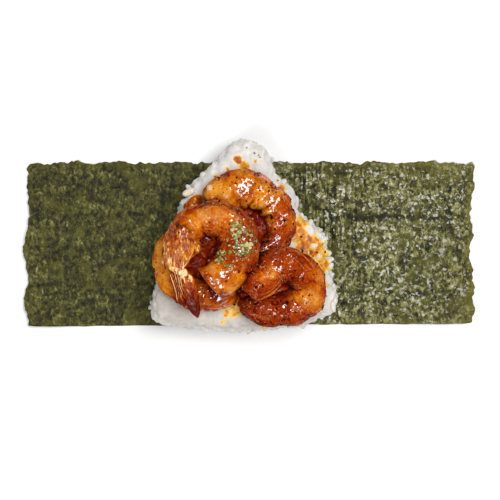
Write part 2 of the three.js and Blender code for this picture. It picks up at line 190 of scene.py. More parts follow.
def mesh_of(name, points, faces):
    """A mesh made of points in millimetres."""
    mesh = bpy.data.meshes.new(name)
    mesh.from_pydata((points * MM).tolist(), [], faces)
    return mesh


def mesh_piece(name, points, faces, material, values, smooth=True):
    """A piece of the food, with per-point values for its material to read."""
    mesh = mesh_of(name, points, faces)
    mesh.validate()
    mesh.update()
    mesh.shade_smooth() if smooth else mesh.shade_flat()
    for key, numbers in values.items():
        layer = mesh.attributes.new(key, "FLOAT", "POINT")
        layer.data.foreach_set("value", np.asarray(numbers, np.float32).ravel())
    mesh.materials.append(material)
    piece = linked(name, mesh)
    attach(piece, "root")
    return piece


def vertex_values(mesh, key):
    """The places or normals of a mesh's points."""
    values = np.empty(len(mesh.vertices) * 3, np.float32)
    mesh.vertices.foreach_get(key, values)
    return values.reshape(-1, 3).astype(float)


def ring_faces(rings, sides):
    """Faces of a tube of rings that is open at both ends."""
    r, s = np.meshgrid(np.arange(rings - 1), np.arange(sides), indexing="ij")
    n = (s + 1) % sides
    quads = np.stack([r * sides + s, r * sides + n, (r + 1) * sides + n, (r + 1) * sides + s], -1)
    return quads.reshape(-1, 4).tolist()


def closed_tube(rings, tips=None):
    """Points and faces of a tube closed at both ends by a point, in the middle of the ring if not given."""
    count, sides = rings.shape[:2]
    base, tip = (count - 1) * sides, count * sides
    faces = ring_faces(count, sides)
    faces += [[tip, b, a] for a, b in ring_pairs(sides)]
    faces += [[tip + 1, base + a, base + b] for a, b in ring_pairs(sides)]
    if tips is None:
        tips = [rings[0].mean(0), rings[-1].mean(0)]
    return np.concatenate([rings.reshape(-1, 3), tips]), faces


def flipped(faces):
    return [face[::-1] for face in faces]


def ball(rings, sides):
    """Points of a ball one across its radius, and the faces that join them."""
    turn, rise = np.meshgrid(turns(sides), np.linspace(-1.45, 1.45, rings), indexing="xy")
    return closed_tube(space(np.cos(turn) * np.cos(rise), np.sin(turn) * np.cos(rise), np.sin(rise)),
                       [[0, 0, -1.0], [0, 0, 1.0]])


def ring_pairs(sides):
    """Each point of a ring with the next one."""
    return [(i, (i + 1) % sides) for i in range(sides)]


def sheet_faces(rows, columns):
    """Faces of a sheet with two sides: upper points in rows, then as many lower points."""
    r, c = np.meshgrid(np.arange(rows - 1), np.arange(columns - 1), indexing="ij")
    a = r * columns + c
    upper = np.stack([a, a + 1, a + columns + 1, a + columns], -1).reshape(-1, 4)
    count = rows * columns
    grid = np.arange(count).reshape(rows, columns)
    rim = np.concatenate([grid[0], grid[1:, -1], grid[-1, -2::-1], grid[-2:0:-1, 0]]).tolist()
    sides = [[a, a + count, b + count, b] for a, b in zip(rim, rim[1:] + rim[:1])]
    return upper.tolist() + (upper[:, ::-1] + count).tolist() + sides


def joined(parts):
    """Small meshes, given as (points, faces), as one list of points and one of faces."""
    points, faces, offset = [], [], 0
    for part_points, part_faces in parts:
        points.append(part_points)
        faces += [[i + offset for i in face] for face in part_faces]
        offset += len(part_points)
    return np.concatenate(points), faces


# ---------------------------------------------------------------- materials


class Value:
    """What a node gives out, so that sums of nodes are written as sums."""

    def __init__(self, look, socket):
        self.look = look
        self.socket = socket

    def __add__(self, other):
        return self.look.math("ADD", self, other)

    def __sub__(self, other):
        return self.look.math("SUBTRACT", self, other)

    def __mul__(self, other):
        return self.look.math("MULTIPLY", self, other)

    def __abs__(self):
        return self.look.math("ABSOLUTE", self, 0.0)

    def remap(self, low, high, to_low=0.0, to_high=1.0):
        """Taken smoothly from one range to another."""
        return self.look.node("ShaderNodeMapRange", 0, {
            "Value": self, "From Min": low, "From Max": high, "To Min": to_low, "To Max": to_high,
        }, interpolation_type="SMOOTHSTEP")


class Look:
    """A material and a short way to write its node tree."""

    def __init__(self, name):
        self.material = bpy.data.materials.new(name)
        self.material.use_nodes = True
        self.tree = self.material.node_tree
        self.shader = self.tree.nodes["Principled BSDF"]
        self.place = self.node("ShaderNodeTexCoord", "Object")

    def node(self, kind, output, inputs=None, **properties):
        """What a new node gives out at one of its outputs."""
        node = self.tree.nodes.new(kind)
        for key, value in properties.items():
            setattr(node, key, value)
        for key, value in (inputs or {}).items():
            self.feed(node.inputs[key], value)
        return Value(self, node.outputs[output])

    def feed(self, socket, value):
        """Links a socket to what a node gives out, or sets it to a number, a colour or three numbers."""
        if isinstance(value, Value):
            self.tree.links.new(value.socket, socket)
        else:
            socket.default_value = (*value, 1) if socket.type == "RGBA" else value

    def set(self, **values):
        for key, value in values.items():
            self.feed(self.shader.inputs[key.replace("_", " ")], value)

    def noise(self, size, detail=3.0, roughness=0.55, distortion=0.0, stretch=None):
        """Noise with features about `size` mm across."""
        place = self.place
        if stretch:
            place = self.node("ShaderNodeMapping", 0, {"Vector": place, "Scale": stretch})
        return self.node("ShaderNodeTexNoise", "Fac", {
            "Vector": place, "Scale": 1 / (size * MM), "Detail": detail, "Roughness": roughness,
            "Distortion": distortion})

    def contours(self, size, roughness=0.55):
        """0 along winding lines, and rising away from them."""
        return abs(self.noise(size, detail=2, roughness=roughness, distortion=1.6) - 0.5)

    def cells(self, size):
        """The distance from the middle of the nearest of many scattered cells, about `size` mm across."""
        return self.node("ShaderNodeTexVoronoi", "Distance", {
            "Vector": self.place, "Scale": 1 / (size * MM)})

    def value(self, name):
        return self.node("ShaderNodeAttribute", "Fac", attribute_name=name)

    def math(self, operation, a, b):
        return self.node("ShaderNodeMath", 0, {0: a, 1: b}, operation=operation)

    def mix(self, share, a, b, blend="MIX"):
        return self.node("ShaderNodeMix", 2, {0: share, 6: a, 7: b}, data_type="RGBA", blend_type=blend)

    def painted(self, color, *coats):
        """A colour with others laid over it, each given as its share and its colour."""
        for share, paint in coats:
            color = self.mix(share, color, paint)
        return color

    def ramp(self, value, *stops):
        color = self.node("ShaderNodeValToRGB", "Color", {"Fac": value})
        elements = color.socket.node.color_ramp.elements
        elements.remove(elements[1])
        for i, (place, paint) in enumerate(stops):
            element = elements[0] if i == 0 else elements.new(place)
            element.position = place
            element.color = (*paint, 1)
        return color

    def bump(self, height, depth, strength=1.0):
        """A bump `depth` mm deep."""
        return self.node("ShaderNodeBump", 0, {
            "Height": height, "Distance": depth * MM, "Strength": strength})


def nori_look():
    look = Look("nori_leaf")
    painted_sheen = look.value("painted_sheen")
    broad = look.noise(10, roughness=0.6)
    clumps = look.noise(4.5, roughness=0.6, distortion=0.5)
    fibres = look.noise(2.6, detail=5, roughness=0.72, distortion=0.8)
    strands = look.noise(1.7, detail=4, roughness=0.7, distortion=0.6, stretch=(1.3, 0.7, 1))
    flecks = look.noise(1.7, roughness=0.65, distortion=0.5)
    ridges = look.noise(1.25, detail=2, roughness=0.5, stretch=(1, 0.1, 1))
    furrow = look.value("ridged") * ridges.remap(0.4, 0.58, 1, -0.25)
    # The right half's painted sheen: more contrast and a lighter mottle there, painted glints below, and a
    # lower roughness.
    uneven = (broad - 0.5) * 0.2 + (clumps - 0.5) * painted_sheen.remap(0, 1, 0.12, 0.28)
    mottle = (fibres + strands - 1.0) * painted_sheen.remap(0, 1, 0.56, 0.85) + uneven + painted_sheen * 0.06
    mottle = mottle + 0.476 - look.value("dent") * 0.16 - furrow * 0.075
    color = look.ramp(mottle, (0.36, (0.008, 0.007, 0.002)), (0.44, (0.034, 0.032, 0.008)),
                      (0.5, (0.074, 0.071, 0.013)), (0.56, (0.145, 0.138, 0.03)),
                      (0.64, (0.35, 0.33, 0.13)))
    bright = flecks + (clumps - 0.5) * 0.38 - furrow * 0.1 - look.cells(1.5) * 0.26
    moss = look.noise(12, detail=4, roughness=0.7, distortion=0.8)
    # Painted glints: grey-white specks where the sheen is painted.
    color = look.painted(
        color, (painted_sheen * bright.remap(0.42, 0.54) * 0.9, (0.74, 0.74, 0.64)),
        (moss.remap(0.5, 0.64, 0, 0.55), (0.125, 0.118, 0.012)),
        (look.value("rim") * fibres.remap(0.38, 0.6, 0.35, 1), (0.175, 0.15, 0.01)))
    look.set(Base_Color=color, Roughness=painted_sheen.remap(0, 1, 0.6, 0.34), Specular_IOR_Level=0.38,
             Normal=look.bump(fibres + flecks * 0.6 - furrow * 0.3, 1.1))
    return look.material


# How the rice's colour changes as the stain deepens: from where to where, and to which colour.
STAIN_COLORS = ((0.08, 0.3, (0.95, 0.66, 0.17)), (0.28, 0.52, (0.9, 0.46, 0.05)),
                (0.46, 0.68, (0.68, 0.2, 0.008)), (0.72, 0.94, (0.34, 0.055, 0.003)))


def rice_look():
    look = Look("rice")
    stain = look.value("stain")
    color = look.mix(look.noise(5), (0.75, 0.715, 0.665), (0.87, 0.84, 0.8))
    # Painted shade: the rice darker towards the lower left.
    color = look.mix(look.value("lower_left_shade"), color, (0.58, 0.53, 0.47))
    grainy = look.noise(1.2, detail=4, roughness=0.7, distortion=0.4)
    color = look.mix(grainy.remap(0.42, 0.6, 0, 0.75), color, (0.86, 0.855, 0.85), "MULTIPLY")
    ragged = look.noise(2.4, detail=5, roughness=0.62, distortion=0.5) - 0.5
    spread = stain + ragged * 1.5
    some = stain.remap(0.04, 0.2)
    specks_and_glints = look.noise(1.6, roughness=0.6, distortion=0.6).remap(0.6, 0.67)
    coats = [(some * spread.remap(low, high), paint) for low, high, paint in STAIN_COLORS]
    color = look.painted(color, *coats, (specks_and_glints * stain.remap(0.25, 0.5), (0.48, 0.115, 0.004)))
    look.set(Base_Color=color, Normal=look.bump(look.noise(0.9), 0.12, 0.35),
             Roughness=stain.remap(0.1, 0.5, 0.5, 0.42), Specular_IOR_Level=0.2,
             Coat_Weight=stain.remap(0.1, 0.4, 0.08, 0.06), Coat_Roughness=0.12,
             Subsurface_Weight=0.4, Subsurface_Radius=(1.0, 0.75, 0.55), Subsurface_Scale=2.0 * MM)
    return look.material


def shrimp_look():
    look = Look("glazed_shrimp")
    broad = look.noise(6.0, distortion=0.4)
    blots = look.noise(2.2, detail=4, roughness=0.6, distortion=1.2)
    fine = look.noise(0.8, roughness=0.6)
    tone = look.value("tone") + (broad - 0.5) * 0.95 + (blots - 0.5) * 0.85 + (fine - 0.5) * 0.25
    # Pooled glaze and painted shade make the glaze redder and darker.
    tone = tone + look.value("recess") * 0.6
    color = look.ramp(tone, (0.00, (0.83, 0.33, 0.028)), (0.14, (0.71, 0.2, 0.005)),
                      (0.32, (0.52, 0.106, 0.001)), (0.5, (0.35, 0.038, 0.001)),
                      (0.7, (0.2, 0.01, 0.001)), (1.0, (0.105, 0.003, 0.001)))
    smear = look.noise(3.0, detail=5, roughness=0.68, distortion=1.8) + look.value("tone") * 0.1
    milk = look.value("milk")
    bare = look.mix(milk.remap(0.45, 0.85), (0.72, 0.31, 0.075), (0.93, 0.64, 0.32))
    specks = look.noise(1.3, roughness=0.6, distortion=2.0)
    # Painted glints: small light dots over the meat.
    specks_and_glints = look.noise(0.8, detail=1, roughness=0.5).remap(0.63, 0.71) * broad.remap(0.44, 0.6, 0.1, 0.6)
    color = look.painted(
        color, (smear.remap(0.56, 0.63, 0, 0.65), (0.42, 0.042, 0.001)),
        (look.value("fibre") * tone.remap(0.35, 0.75, 0.5, 0.18), (0.86, 0.38, 0.06)), (milk, bare),
        (specks.remap(0.6, 0.67, 0, 0.5), (0.22, 0.012, 0.001)), (specks_and_glints, (0.9, 0.5, 0.2)),
        (look.value("char") * fine.remap(0.42, 0.52, 0.2, 1), (0.012, 0.003, 0.001)))
    wet = look.value("wet")
    width = wet.remap(0, 0.7, 0.013, 0.076)
    film = (width - look.contours(3.0, roughness=0.5)).remap(-0.006, 0.006, 0.015, 1.0)
    broken = (look.noise(1.9, detail=2, roughness=0.5) + wet * 0.05).remap(0.44, 0.47, 0.03, 1.0)
    glaze = look.noise(3.0, detail=1, roughness=0.4, distortion=0.6)
    look.set(Base_Color=color, Normal=look.bump(fine + blots * 1.5, 0.35, 0.7), Roughness=0.6,
             Specular_IOR_Level=0.02, Coat_Normal=look.bump(glaze, 0.36), Coat_Roughness=0.02, Coat_IOR=2.6,
             Coat_Weight=film * broken * wet.remap(-0.8, -0.1, 0.2, 1),
             Subsurface_Weight=0.18, Subsurface_Radius=(1.0, 0.25, 0.05), Subsurface_Scale=1.6 * MM)
    return look.material


def shell_look():
    look = Look("tail_shell")
    streak = look.noise(1.3, distortion=0.9, stretch=(1.8, 0.36, 1))
    blots = look.noise(2.8, roughness=0.6, distortion=1.6)
    # Painted highlights: lighter towards the rear end and on the crests of the crumpling, up to a near-white
    # gold; painted shade darker in its valleys.
    tone = streak * 0.6 + blots * 0.4 + 0.045 - look.value("edge") * 0.08 - look.value("painted_crest_light") * 0.24
    color = look.ramp(tone, (0.35, (0.99, 0.82, 0.5)), (0.4, (0.9, 0.46, 0.07)),
                      (0.46, (0.66, 0.18, 0.006)), (0.54, (0.45, 0.08, 0.003)), (0.63, (0.22, 0.022, 0.001)))
    look.set(Base_Color=color, Normal=look.bump(streak, 0.7, 0.8), Coat_Normal=look.bump(streak, 0.5),
             Coat_Weight=look.contours(1.5).remap(0.03, 0.05, 1.0, 0.015), Roughness=0.5,
             Specular_IOR_Level=0.05, Coat_Roughness=0.04, Coat_IOR=2.1)
    return look.material


def fin_look():
    look = Look("tail_fin")
    blots = look.noise(1.4, detail=4, roughness=0.65, distortion=0.8, stretch=(1.5, 0.55, 1))
    tone = look.value("tone") + (blots - 0.5) * 2.9 - look.value("rib") * blots.remap(0.4, 0.6, 0.6, 1.1)
    color = look.ramp(tone, (0.0, (0.98, 0.74, 0.36)), (0.08, (0.86, 0.38, 0.05)),
                      (0.22, (0.58, 0.13, 0.006)), (0.42, (0.34, 0.042, 0.002)),
                      (0.68, (0.17, 0.011, 0.001)), (1.0, (0.085, 0.004, 0.001)))
    look.set(Base_Color=color, Normal=look.bump(look.noise(0.9, detail=4), 0.3, 0.5), Roughness=0.5,
             Specular_IOR_Level=0.03, Coat_Normal=look.bump(blots, 0.3), Coat_Roughness=0.04, Coat_IOR=1.9,
             Coat_Weight=look.contours(1.5).remap(0.016, 0.03, 0.6, 0.01))
    return look.material


def sauce_and_shade_look():
    look = Look("sauce")
    tone = look.noise(2.5, detail=4) + look.value("tone") * -0.3
    # Very dark: the sauce and the painted shade of the gaps it fills.
    color = look.ramp(tone, (0.22, (0.42, 0.06, 0.003)), (0.38, (0.24, 0.014, 0.001)),
                      (0.5, (0.13, 0.004, 0.001)), (0.62, (0.06, 0.002, 0.001)))
    look.set(Base_Color=color, Coat_Normal=look.bump(look.noise(2.5, detail=1), 0.3),
             Coat_Weight=look.contours(2.2).remap(0.016, 0.03, 0.9, 0.03), Roughness=0.5,
             Specular_IOR_Level=0.02, Coat_Roughness=0.03)
    return look.material


def crumb_look(name, roughness, *stops):
    look = Look(name)
    color = look.ramp(look.value("tint") + (look.noise(0.8, detail=2) - 0.5) * 0.5, *stops)
    look.set(Base_Color=color, Normal=look.bump(look.noise(0.4), 0.2, 0.6), Roughness=roughness,
             Specular_IOR_Level=0.1)
    return look.material


# ---------------------------------------------------------------- nori

# Dark lines pressed or folded into the leaf: which way and where they run, from and to, and how strong.
NORI_LINES = (
    dict(across=True, at=11.7, start=32, end=94, strength=1),
    dict(across=True, at=12.5, start=-94, end=-42, strength=0.35),
    dict(across=True, at=-20.3, start=38, end=94, strength=0.55),
    dict(across=True, at=-17.5, start=-94, end=-60, strength=0.25),
    dict(across=False, at=36, start=-8, end=34, strength=0.7),
    dict(across=False, at=45.5, start=-6, end=18, strength=0.6),
    dict(across=False, at=84.8, start=6, end=33, strength=0.5),
    dict(across=False, at=-37, start=-30, end=30, strength=0.25),
)
# How far each short end waves out, from the lower corner up.
LEFT_WAVES = ((-34.8, -23.7, -16.8, -2.4, 15.6, 31.8), (-0.7, 1, -0.7, 1.4, -1.1, 0.1))
RIGHT_WAVES = ((-32.2, -29.6, -19.4, -11.7, -3.2, 3.6, 10.4, 19, 30),
               (0, 1.2, 0.4, 0, -1.3, 0, -0.9, 0, 0.8))


def torn(s, seed):
    """How far a torn edge stands out at each place s along it."""
    waves = 0.5 * np.sin(0.29 * s + 1.1) + 0.3 * np.sin(0.71 * s) + 0.2 * np.sin(1.7 * s + 2)
    spots = space(s, seed)
    return NORI["ragged"] * waves + 0.55 * lumps(spots, 2.4, seed) + 0.35 * lumps(spots, 1.0, seed)


def nori_lines(x, y):
    """How strong the dark lines are at places of the leaf."""
    total = np.zeros_like(x)
    for number, line in enumerate(NORI_LINES):
        here, run = (y, x) if line["across"] else (x, y)
        wander = 0.35 * np.sin(run / 7 + number) + 0.2 * np.sin(run / 2.9)
        ends = between(run, line["start"] - 2, line["end"] + 2, 5)
        total += line["strength"] * ends * bell(here - line["at"], wander, 0.75)
    return np.clip(total, 0, 1)


def nori_plan(u, v):
    """The leaf seen from above, for u and v from -1 to 1. Its lower long edge is a straight cut."""
    x, y = u * NORI["length"] / 2, v * NORI["width"] / 2
    side = np.sign(u)
    waves = np.where(u < 0, np.interp(y, *LEFT_WAVES), np.interp(y, *RIGHT_WAVES))
    end_shift = side * (np.abs(u)**30 * torn(y + 40 * side, 3) + np.abs(u)**12 * waves)
    top_shift = np.maximum(v, 0)**14 * torn(x + 13, 8)
    lower_shift = np.maximum(-v, 0) * NORI["lower_rise"] * (u + 1) / 2
    cut = np.maximum(-v, 0)**40 * 0.15 * lumps(space(x, 0), 3.5, 6)
    corner = NORI["corner_radius"] * (1 - math.sqrt(0.5)) * np.abs(u * v)**24 * np.where(v < 0, 0.3, 1)
    return x + end_shift - corner * side, y + top_shift + lower_shift + cut - corner * np.sign(v)


def nori_rim(u, v, x, flat):
    """How far the leaf's edges are bleached, most at its torn ones at the right."""
    half_length, half_width = NORI["length"] / 2, NORI["width"] / 2
    to_edge = np.minimum(half_length * (1 - np.abs(u)), half_width * (1 - np.abs(v)))
    rim = (0.45 + 0.3 * smoothstep(v, -1.0, -0.9)) * bell(to_edge, 0, 1.7)
    rim = rim * (0.6 + 0.4 * smoothstep(x, 20, 60))
    to_torn = np.minimum(half_length * (1 - u), half_width * (1 - v))
    torn_rim = 0.5 * bell(to_torn, 0, 4.2) * smoothstep(x, 25, 70) * (0.6 + 0.4 * lumps(flat, 6, 14))
    return np.clip(rim + torn_rim, 0, 1)


def nori_piece():
    columns, rows = (round(NORI[side] / NORI["cell"]) + 1 for side in ("length", "width"))
    v, u = np.meshgrid(np.linspace(-1, 1, rows), np.linspace(-1, 1, columns), indexing="ij")
    x, y = nori_plan(u, v)
    flat = space(x, y)
    free = smoothstep(np.abs(x), NORI["flat_half"], NORI["length"] / 2)
    wave = 0.5 + 0.28 * np.sin(0.12 * x + 0.05 * y + 0.6) + 0.22 * np.sin(0.16 * y - 0.07 * x)
    wrinkle = 0.16 * lumps(flat, 3.6, 11) + 0.13 * lumps(flat, 1.9, 12)
    dent = nori_lines(x, y)
    low = NORI["lift"] * free * wave + np.maximum(0, wrinkle) * free
    high = low + NORI["thickness"] + 0.8 * wrinkle - 0.2 * dent
    points = np.concatenate([space(x, y, z).reshape(-1, 3) for z in (high, low)])
    ridged = smoothstep(x, 15, 21) * (1 - smoothstep(x, 38, 56)) * (0.3 + 0.7 * smoothstep(y, -12, 6))
    # Painted sheen, most on the right half, with painted light near the rice's right side that lifts its
    # shadow.
    painted_sheen = smoothstep(x, -18, 32) * (0.7 + 0.3 * lumps(flat, 14, 13)) + 0.3 * bell(x, 34, 9)
    grids = dict(rim=nori_rim(u, v, x, flat), painted_sheen=painted_sheen, dent=dent, ridged=ridged)
    values = {key: np.tile(grid.ravel(), 2) for key, grid in grids.items()}
    piece = mesh_piece("nori_leaf", points, sheet_faces(rows, columns), nori_look(), values)
    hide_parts("nori_sheet")


# ---------------------------------------------------------------- shrimp

HALF_STEP, MIDDLE_SAMPLES, POINTS_AT_ONCE = 0.005, 161, 4000
# Points further than this along a body from its nearest middle are off its ends.
END_REACH, OUTSIDE = 1.5, 9.0


class Curl:
    """The body of one shrimp lying curled on its side."""

    def __init__(self, facts):
        self.facts = facts
        self.turn = math.copysign(1, facts["sweep"])

    def middle(self, t):
        angle = np.radians(self.facts["start"] + self.facts["sweep"] * t)
        radius = along(self.facts["radius"], t)
        x, y = self.facts["centre"]
        return space(x + radius * np.cos(angle), y + radius * np.sin(angle), along(self.facts["height"], t))

    def frame(self, t):
        """The middle, and the directions to the tail, out to the back and up across the side."""
        middle = self.middle(t)
        tailward = unit(self.middle(t + HALF_STEP) - self.middle(t - HALF_STEP))
        outward = middle - np.array([*self.facts["centre"], 0])
        outward[..., 2] = 0
        outward -= tailward * np.sum(outward * tailward, -1, keepdims=True)
        outward = unit(outward)
        return middle, tailward, outward, self.turn * np.cross(outward, tailward)

    def size(self, t, around, share=1.0):
        """Half depth and half width at t, with the segments' relief."""
        groove = np.sqrt(np.abs(np.sin(math.pi * SEGMENTS * t))) - GROOVE_LEVEL
        relief = SEGMENT_RELIEF * groove * (SIDE_RELIEF + (1 - SIDE_RELIEF) * np.cos(around)**2)
        belly = 1 - BELLY_FLATNESS * np.maximum(0, -np.cos(around))
        return (share * (1 + relief) * belly * along(self.facts["deep"], t),
                share * (1 + relief) * along(self.facts["wide"], t))

    def skin(self, t, around, share, grow, past):
        """Points of the skin at a share of its size, grown by some mm and moved some mm to the tail."""
        middle, tailward, outward, up = self.frame(t)
        deep, wide = self.size(t, around, share)
        slant = self.facts["slant"] * np.maximum(0, 1 - t / SLANT_REACH)
        across = np.cos(around) * (deep + grow)
        return (middle + outward * across[..., None] + up * (np.sin(around) * (wide + grow))[..., None]
                + tailward * (slant * across + past)[..., None])

    def inside(self, points, grow=0.0):
        """How deep points are in the body, 0 at the middle and 1 at the skin, and the nearest middle."""
        t = np.linspace(0, 1, MIDDLE_SAMPLES)
        middle, tailward, outward, up = self.frame(t)
        nearest = np.empty(len(points), int)
        for first in range(0, len(points), POINTS_AT_ONCE):
            some = slice(first, first + POINTS_AT_ONCE)
            nearest[some] = np.argmin(np.sum((points[some, None] - middle[None])**2, -1), 1)
        apart = points - middle[nearest]
        x, y, z = (np.sum(apart * way[nearest], -1) for way in (outward, up, tailward))
        deep, wide = self.size(t[nearest], np.arctan2(y, x))
        level = np.sqrt((x / (deep + grow))**2 + (y / (wide + grow))**2)
        return np.where(np.abs(z) > END_REACH, OUTSIDE, level), middle[nearest]


CURLS = {name: Curl(facts) for name, facts in SHRIMPS.items()}
BODY_RINGS, BODY_SIDES = 260, 100
# How each end is rounded off: mm past it and share of the size there.
HEAD_CAP = ((0.72, 0.12), (0.78, 0.3), (0.95, 0.5), (1.15, 0.68), (1.25, 0.82), (1, 0.92), (0.55, 0.98))
TAIL_CAP = ((0.35, 0.97), (0.75, 0.86), (1.05, 0.66), (1.2, 0.4), (1.25, 0.18))

# Spots on the shrimp: x, y and radius, then how strong where it differs from spot to spot.
# CHAR is scorched, WET has thick glaze that shines, DRY hardly shines, and SPARKLES is finely crinkled.
CHAR = (
    (-28.6, 7.6, 1.2), (-26.9, 6.9, 1), (-25, 6, 0.8), (-23.4, 4.8, 1), (-21, 17.4, 1.3),
    (-19, 17.8, 1.2), (-17.6, 17.2, 0.9), (3.3, 28.5, 1), (-1.6, 29.2, 0.9), (14, -20.6, 1.6),
)
WET = (
    (-1.5, 22.5, 3.2), (1.5, 23.5, 2.8), (5.5, 24.8, 3.2), (9.5, 20, 3), (8.5, 16.5, 3), (10, 12, 3),
    (8, 5.5, 3), (-15.3, -22.7, 7), (-9.4, -12, 2.4), (12.3, -9.6, 1.5), (15.5, -25, 2.8),
    (7.5, -1.5, 6), (22, -12, 0.9), (-2.5, -3.5, 1.7), (9.5, -27, 2), (-28, 5, 2.5),
)
DRY = ((6, -30.5, 6), (1, -25.5, 3), (-20, 12, 3.5), (-10.5, 12, 3), (26.5, -20, 3.5),
       (6.5, -14, 2.6), (22, -8, 3.4), (17.5, -13.5, 2))
SPARKLES = ((-13, -23, 5.5), (-2.5, -3.5, 3))
# Pale plump spots of meat, and how far they bulge.
PALE = (
    (-16.1, 22.5, 2.2, 0.9), (-10, 19.6, 2, 0.8), (-13, 24.5, 1.8, 0.5), (5.1, 15.9, 1.5, 0.5),
    (1.8, 14.7, 1.3, 0.6), (8, 13, 1.4, 0.5), (10, 8.8, 1.4, 0.4), (-19.8, 12.9, 4.5, 0),
    (-11, 12.5, 4.5, 0), (-7.8, -18.4, 3, 0), (-15, -9.6, 2.5, 0.3), (25.4, -22.7, 4.5, 0),
    (27.8, -12.5, 3, 0), (-38.2, -8.4, 3.5, 0), (-36, -2, 2.5, 0), (5.5, -13.5, 2.5, 0),
    (17, 8, 2.5, 0), (14.5, -1, 2, 0), (9.5, -12, 3.5, 0), (15, -6.8, 2, 0),
    (21.5, -21, 3.5, 0), (28.5, -17, 3, 0), (-3.5, -13, 3, 0),
)
# Redder glaze, and how much redder.
RED = ((17, -15.8, 3.2, 0.35), (9.2, -25.6, 4.5, 0.35), (-1.4, -22, 3.5, 0.3), (7.9, -17.8, 2.5, 0.15),
       (21, -2.5, 4, 0.2), (-27, 10, 3, 0.2), (4, -27.5, 5, 0.4), (12, -31, 4, 0.35),
       (-2, -0.5, 4.5, 0.26), (-6.5, 3, 4, 0.12), (-1, 6.5, 3, 0.2))
# Little glaze over pale meat, and how pale.
MILKY = ((-16.1, 22.6, 2, 0.85), (-9.8, 19.8, 1.9, 0.8), (-18, 11.6, 3.4, 0.4), (-12, 11.4, 3.2, 0.36),
         (-38, -12, 3.4, 0.3), (-8.5, -18.6, 3, 0.4), (-15, -10, 2.2, 0.4), (25, -22, 4.6, 0.4),
         (28.6, -13, 2.6, 0.3), (9, -11.5, 2.6, 0.2), (5.3, 15.6, 1.4, 0.5), (8.3, 12.6, 1.4, 0.45))
STRIPE_ANGLES = (14, 25, 35, 46, 55)


def spot_sum(spots, points, shape=lambda value: value):
    """The sum of spots that each have a strength."""
    return sum(spot[3] * shape(spots_at([spot], points)) for spot in spots if spot[3])


def belly_pleats(pleats, t, points, seed):
    """Plump folds across the inside of a curl, above 0 on a fold and below it in the crease between two."""
    if not pleats:
        return np.zeros_like(t)
    place = pleats["count"] * t + 0.3 * lumps(points, 4, seed)
    return between(t, pleats["start"], pleats["end"], 0.05) * (np.abs(np.sin(math.pi * place))**0.6 - 0.55)


def rim_stripes(stripes, t, side, points, seed):
    """Thin pale lines that run along the back of a shrimp, 1 on a line and 0 where the body has none."""
    if not stripes:
        return np.zeros_like(t)
    wander = 3.0 * lumps(points, 5, seed)
    lines = sum(bell(np.degrees(side) - at, wander, 2.6) for at in STRIPE_ANGLES)
    some = smoothstep(lumps(points, 2.2, seed + 1), -0.6, 0.1)
    return between(t, stripes["start"], stripes["end"], 0.06) * (0.02 + lines * some)


def segment_grooves(place, inner, back, points, seed):
    """Creases between the segments, deepest along the back."""
    gap = np.abs(place - np.round(place))
    some = smoothstep(lumps(points, 5.0, seed), -0.5, 0.5)
    return bell(gap, 0, 0.05) * ((0.15 + 0.85 * some) * (0.45 + 0.4 * inner) + 1.0 * back)


def slit_and_lip(slit, t, side, points, seed):
    """The cut along the back where the vein was, and the lip of meat beside it."""
    away = side - math.radians(slit["at"]) + 0.1 * lumps(points, 5, seed)
    within = between(t, slit["start"], slit["end"], 0.08)
    return bell(away, 0, 0.07) * within, bell(away, 0.2, 0.1) * within


def glaze_tone(facts, t, place, side, outer, stripe, points):
    """How red the glaze is: redder along the back, in bands, in lines and in spots."""
    tone = along(facts["tone"], t) + facts["rim_red"] * smoothstep(outer, 0.45, 0.9)
    tone = tone + 0.16 * smoothstep(outer, 0.35, 0.95) * np.cos(2 * math.pi * place)
    tone = tone - 0.05 * smoothstep(outer, 0.6, 1.0)
    tone = tone + 0.22 * (stripe > 0) * smoothstep(np.cos(side), 0.45, 0.7)
    return tone - 0.24 * spots_at(PALE, points) + spot_sum(RED, points)


def pressed_in(points, recess, pressed_by):
    """Points kept clear of the shrimp on top and of the rice, with painted shade where they touch."""
    flat = points.reshape(-1, 3)
    for other in pressed_by:
        level, middle = CURLS[other].inside(flat, 0.15)
        pushed = middle + (flat - middle) / np.maximum(level, 0.3)[:, None]
        flat = np.where((level < 1)[:, None], pushed, flat)
        # Painted shade under the shrimp on top.
        recess = recess + 0.9 * smoothstep(-level, -1.35, -1.0).reshape(recess.shape)
    flat[:, 2] = np.maximum(flat[:, 2], rice_height(flat) + 0.3)
    # Painted shade low down, near the rice.
    low = np.clip((flat[:, 2] - RICE_TOP - 3.5) / 3.0, 0, 1).reshape(recess.shape)
    return flat.reshape(points.shape), recess + 0.35 * (1 - low)


def body_grid(turn):
    """For each ring and side of a body: place along it, share of its size, mm past its end, and angle."""
    rings = ([(0, share, -past) for past, share in HEAD_CAP]
             + [(t, 1, 0) for t in np.linspace(0, 1, BODY_RINGS)]
             + [(1, share, past) for past, share in TAIL_CAP])
    grids = [np.repeat(column[:, None], BODY_SIDES, 1) for column in np.array(rings, float).T]
    return *grids, np.repeat(-turn * turns(BODY_SIDES)[None], len(rings), 0)


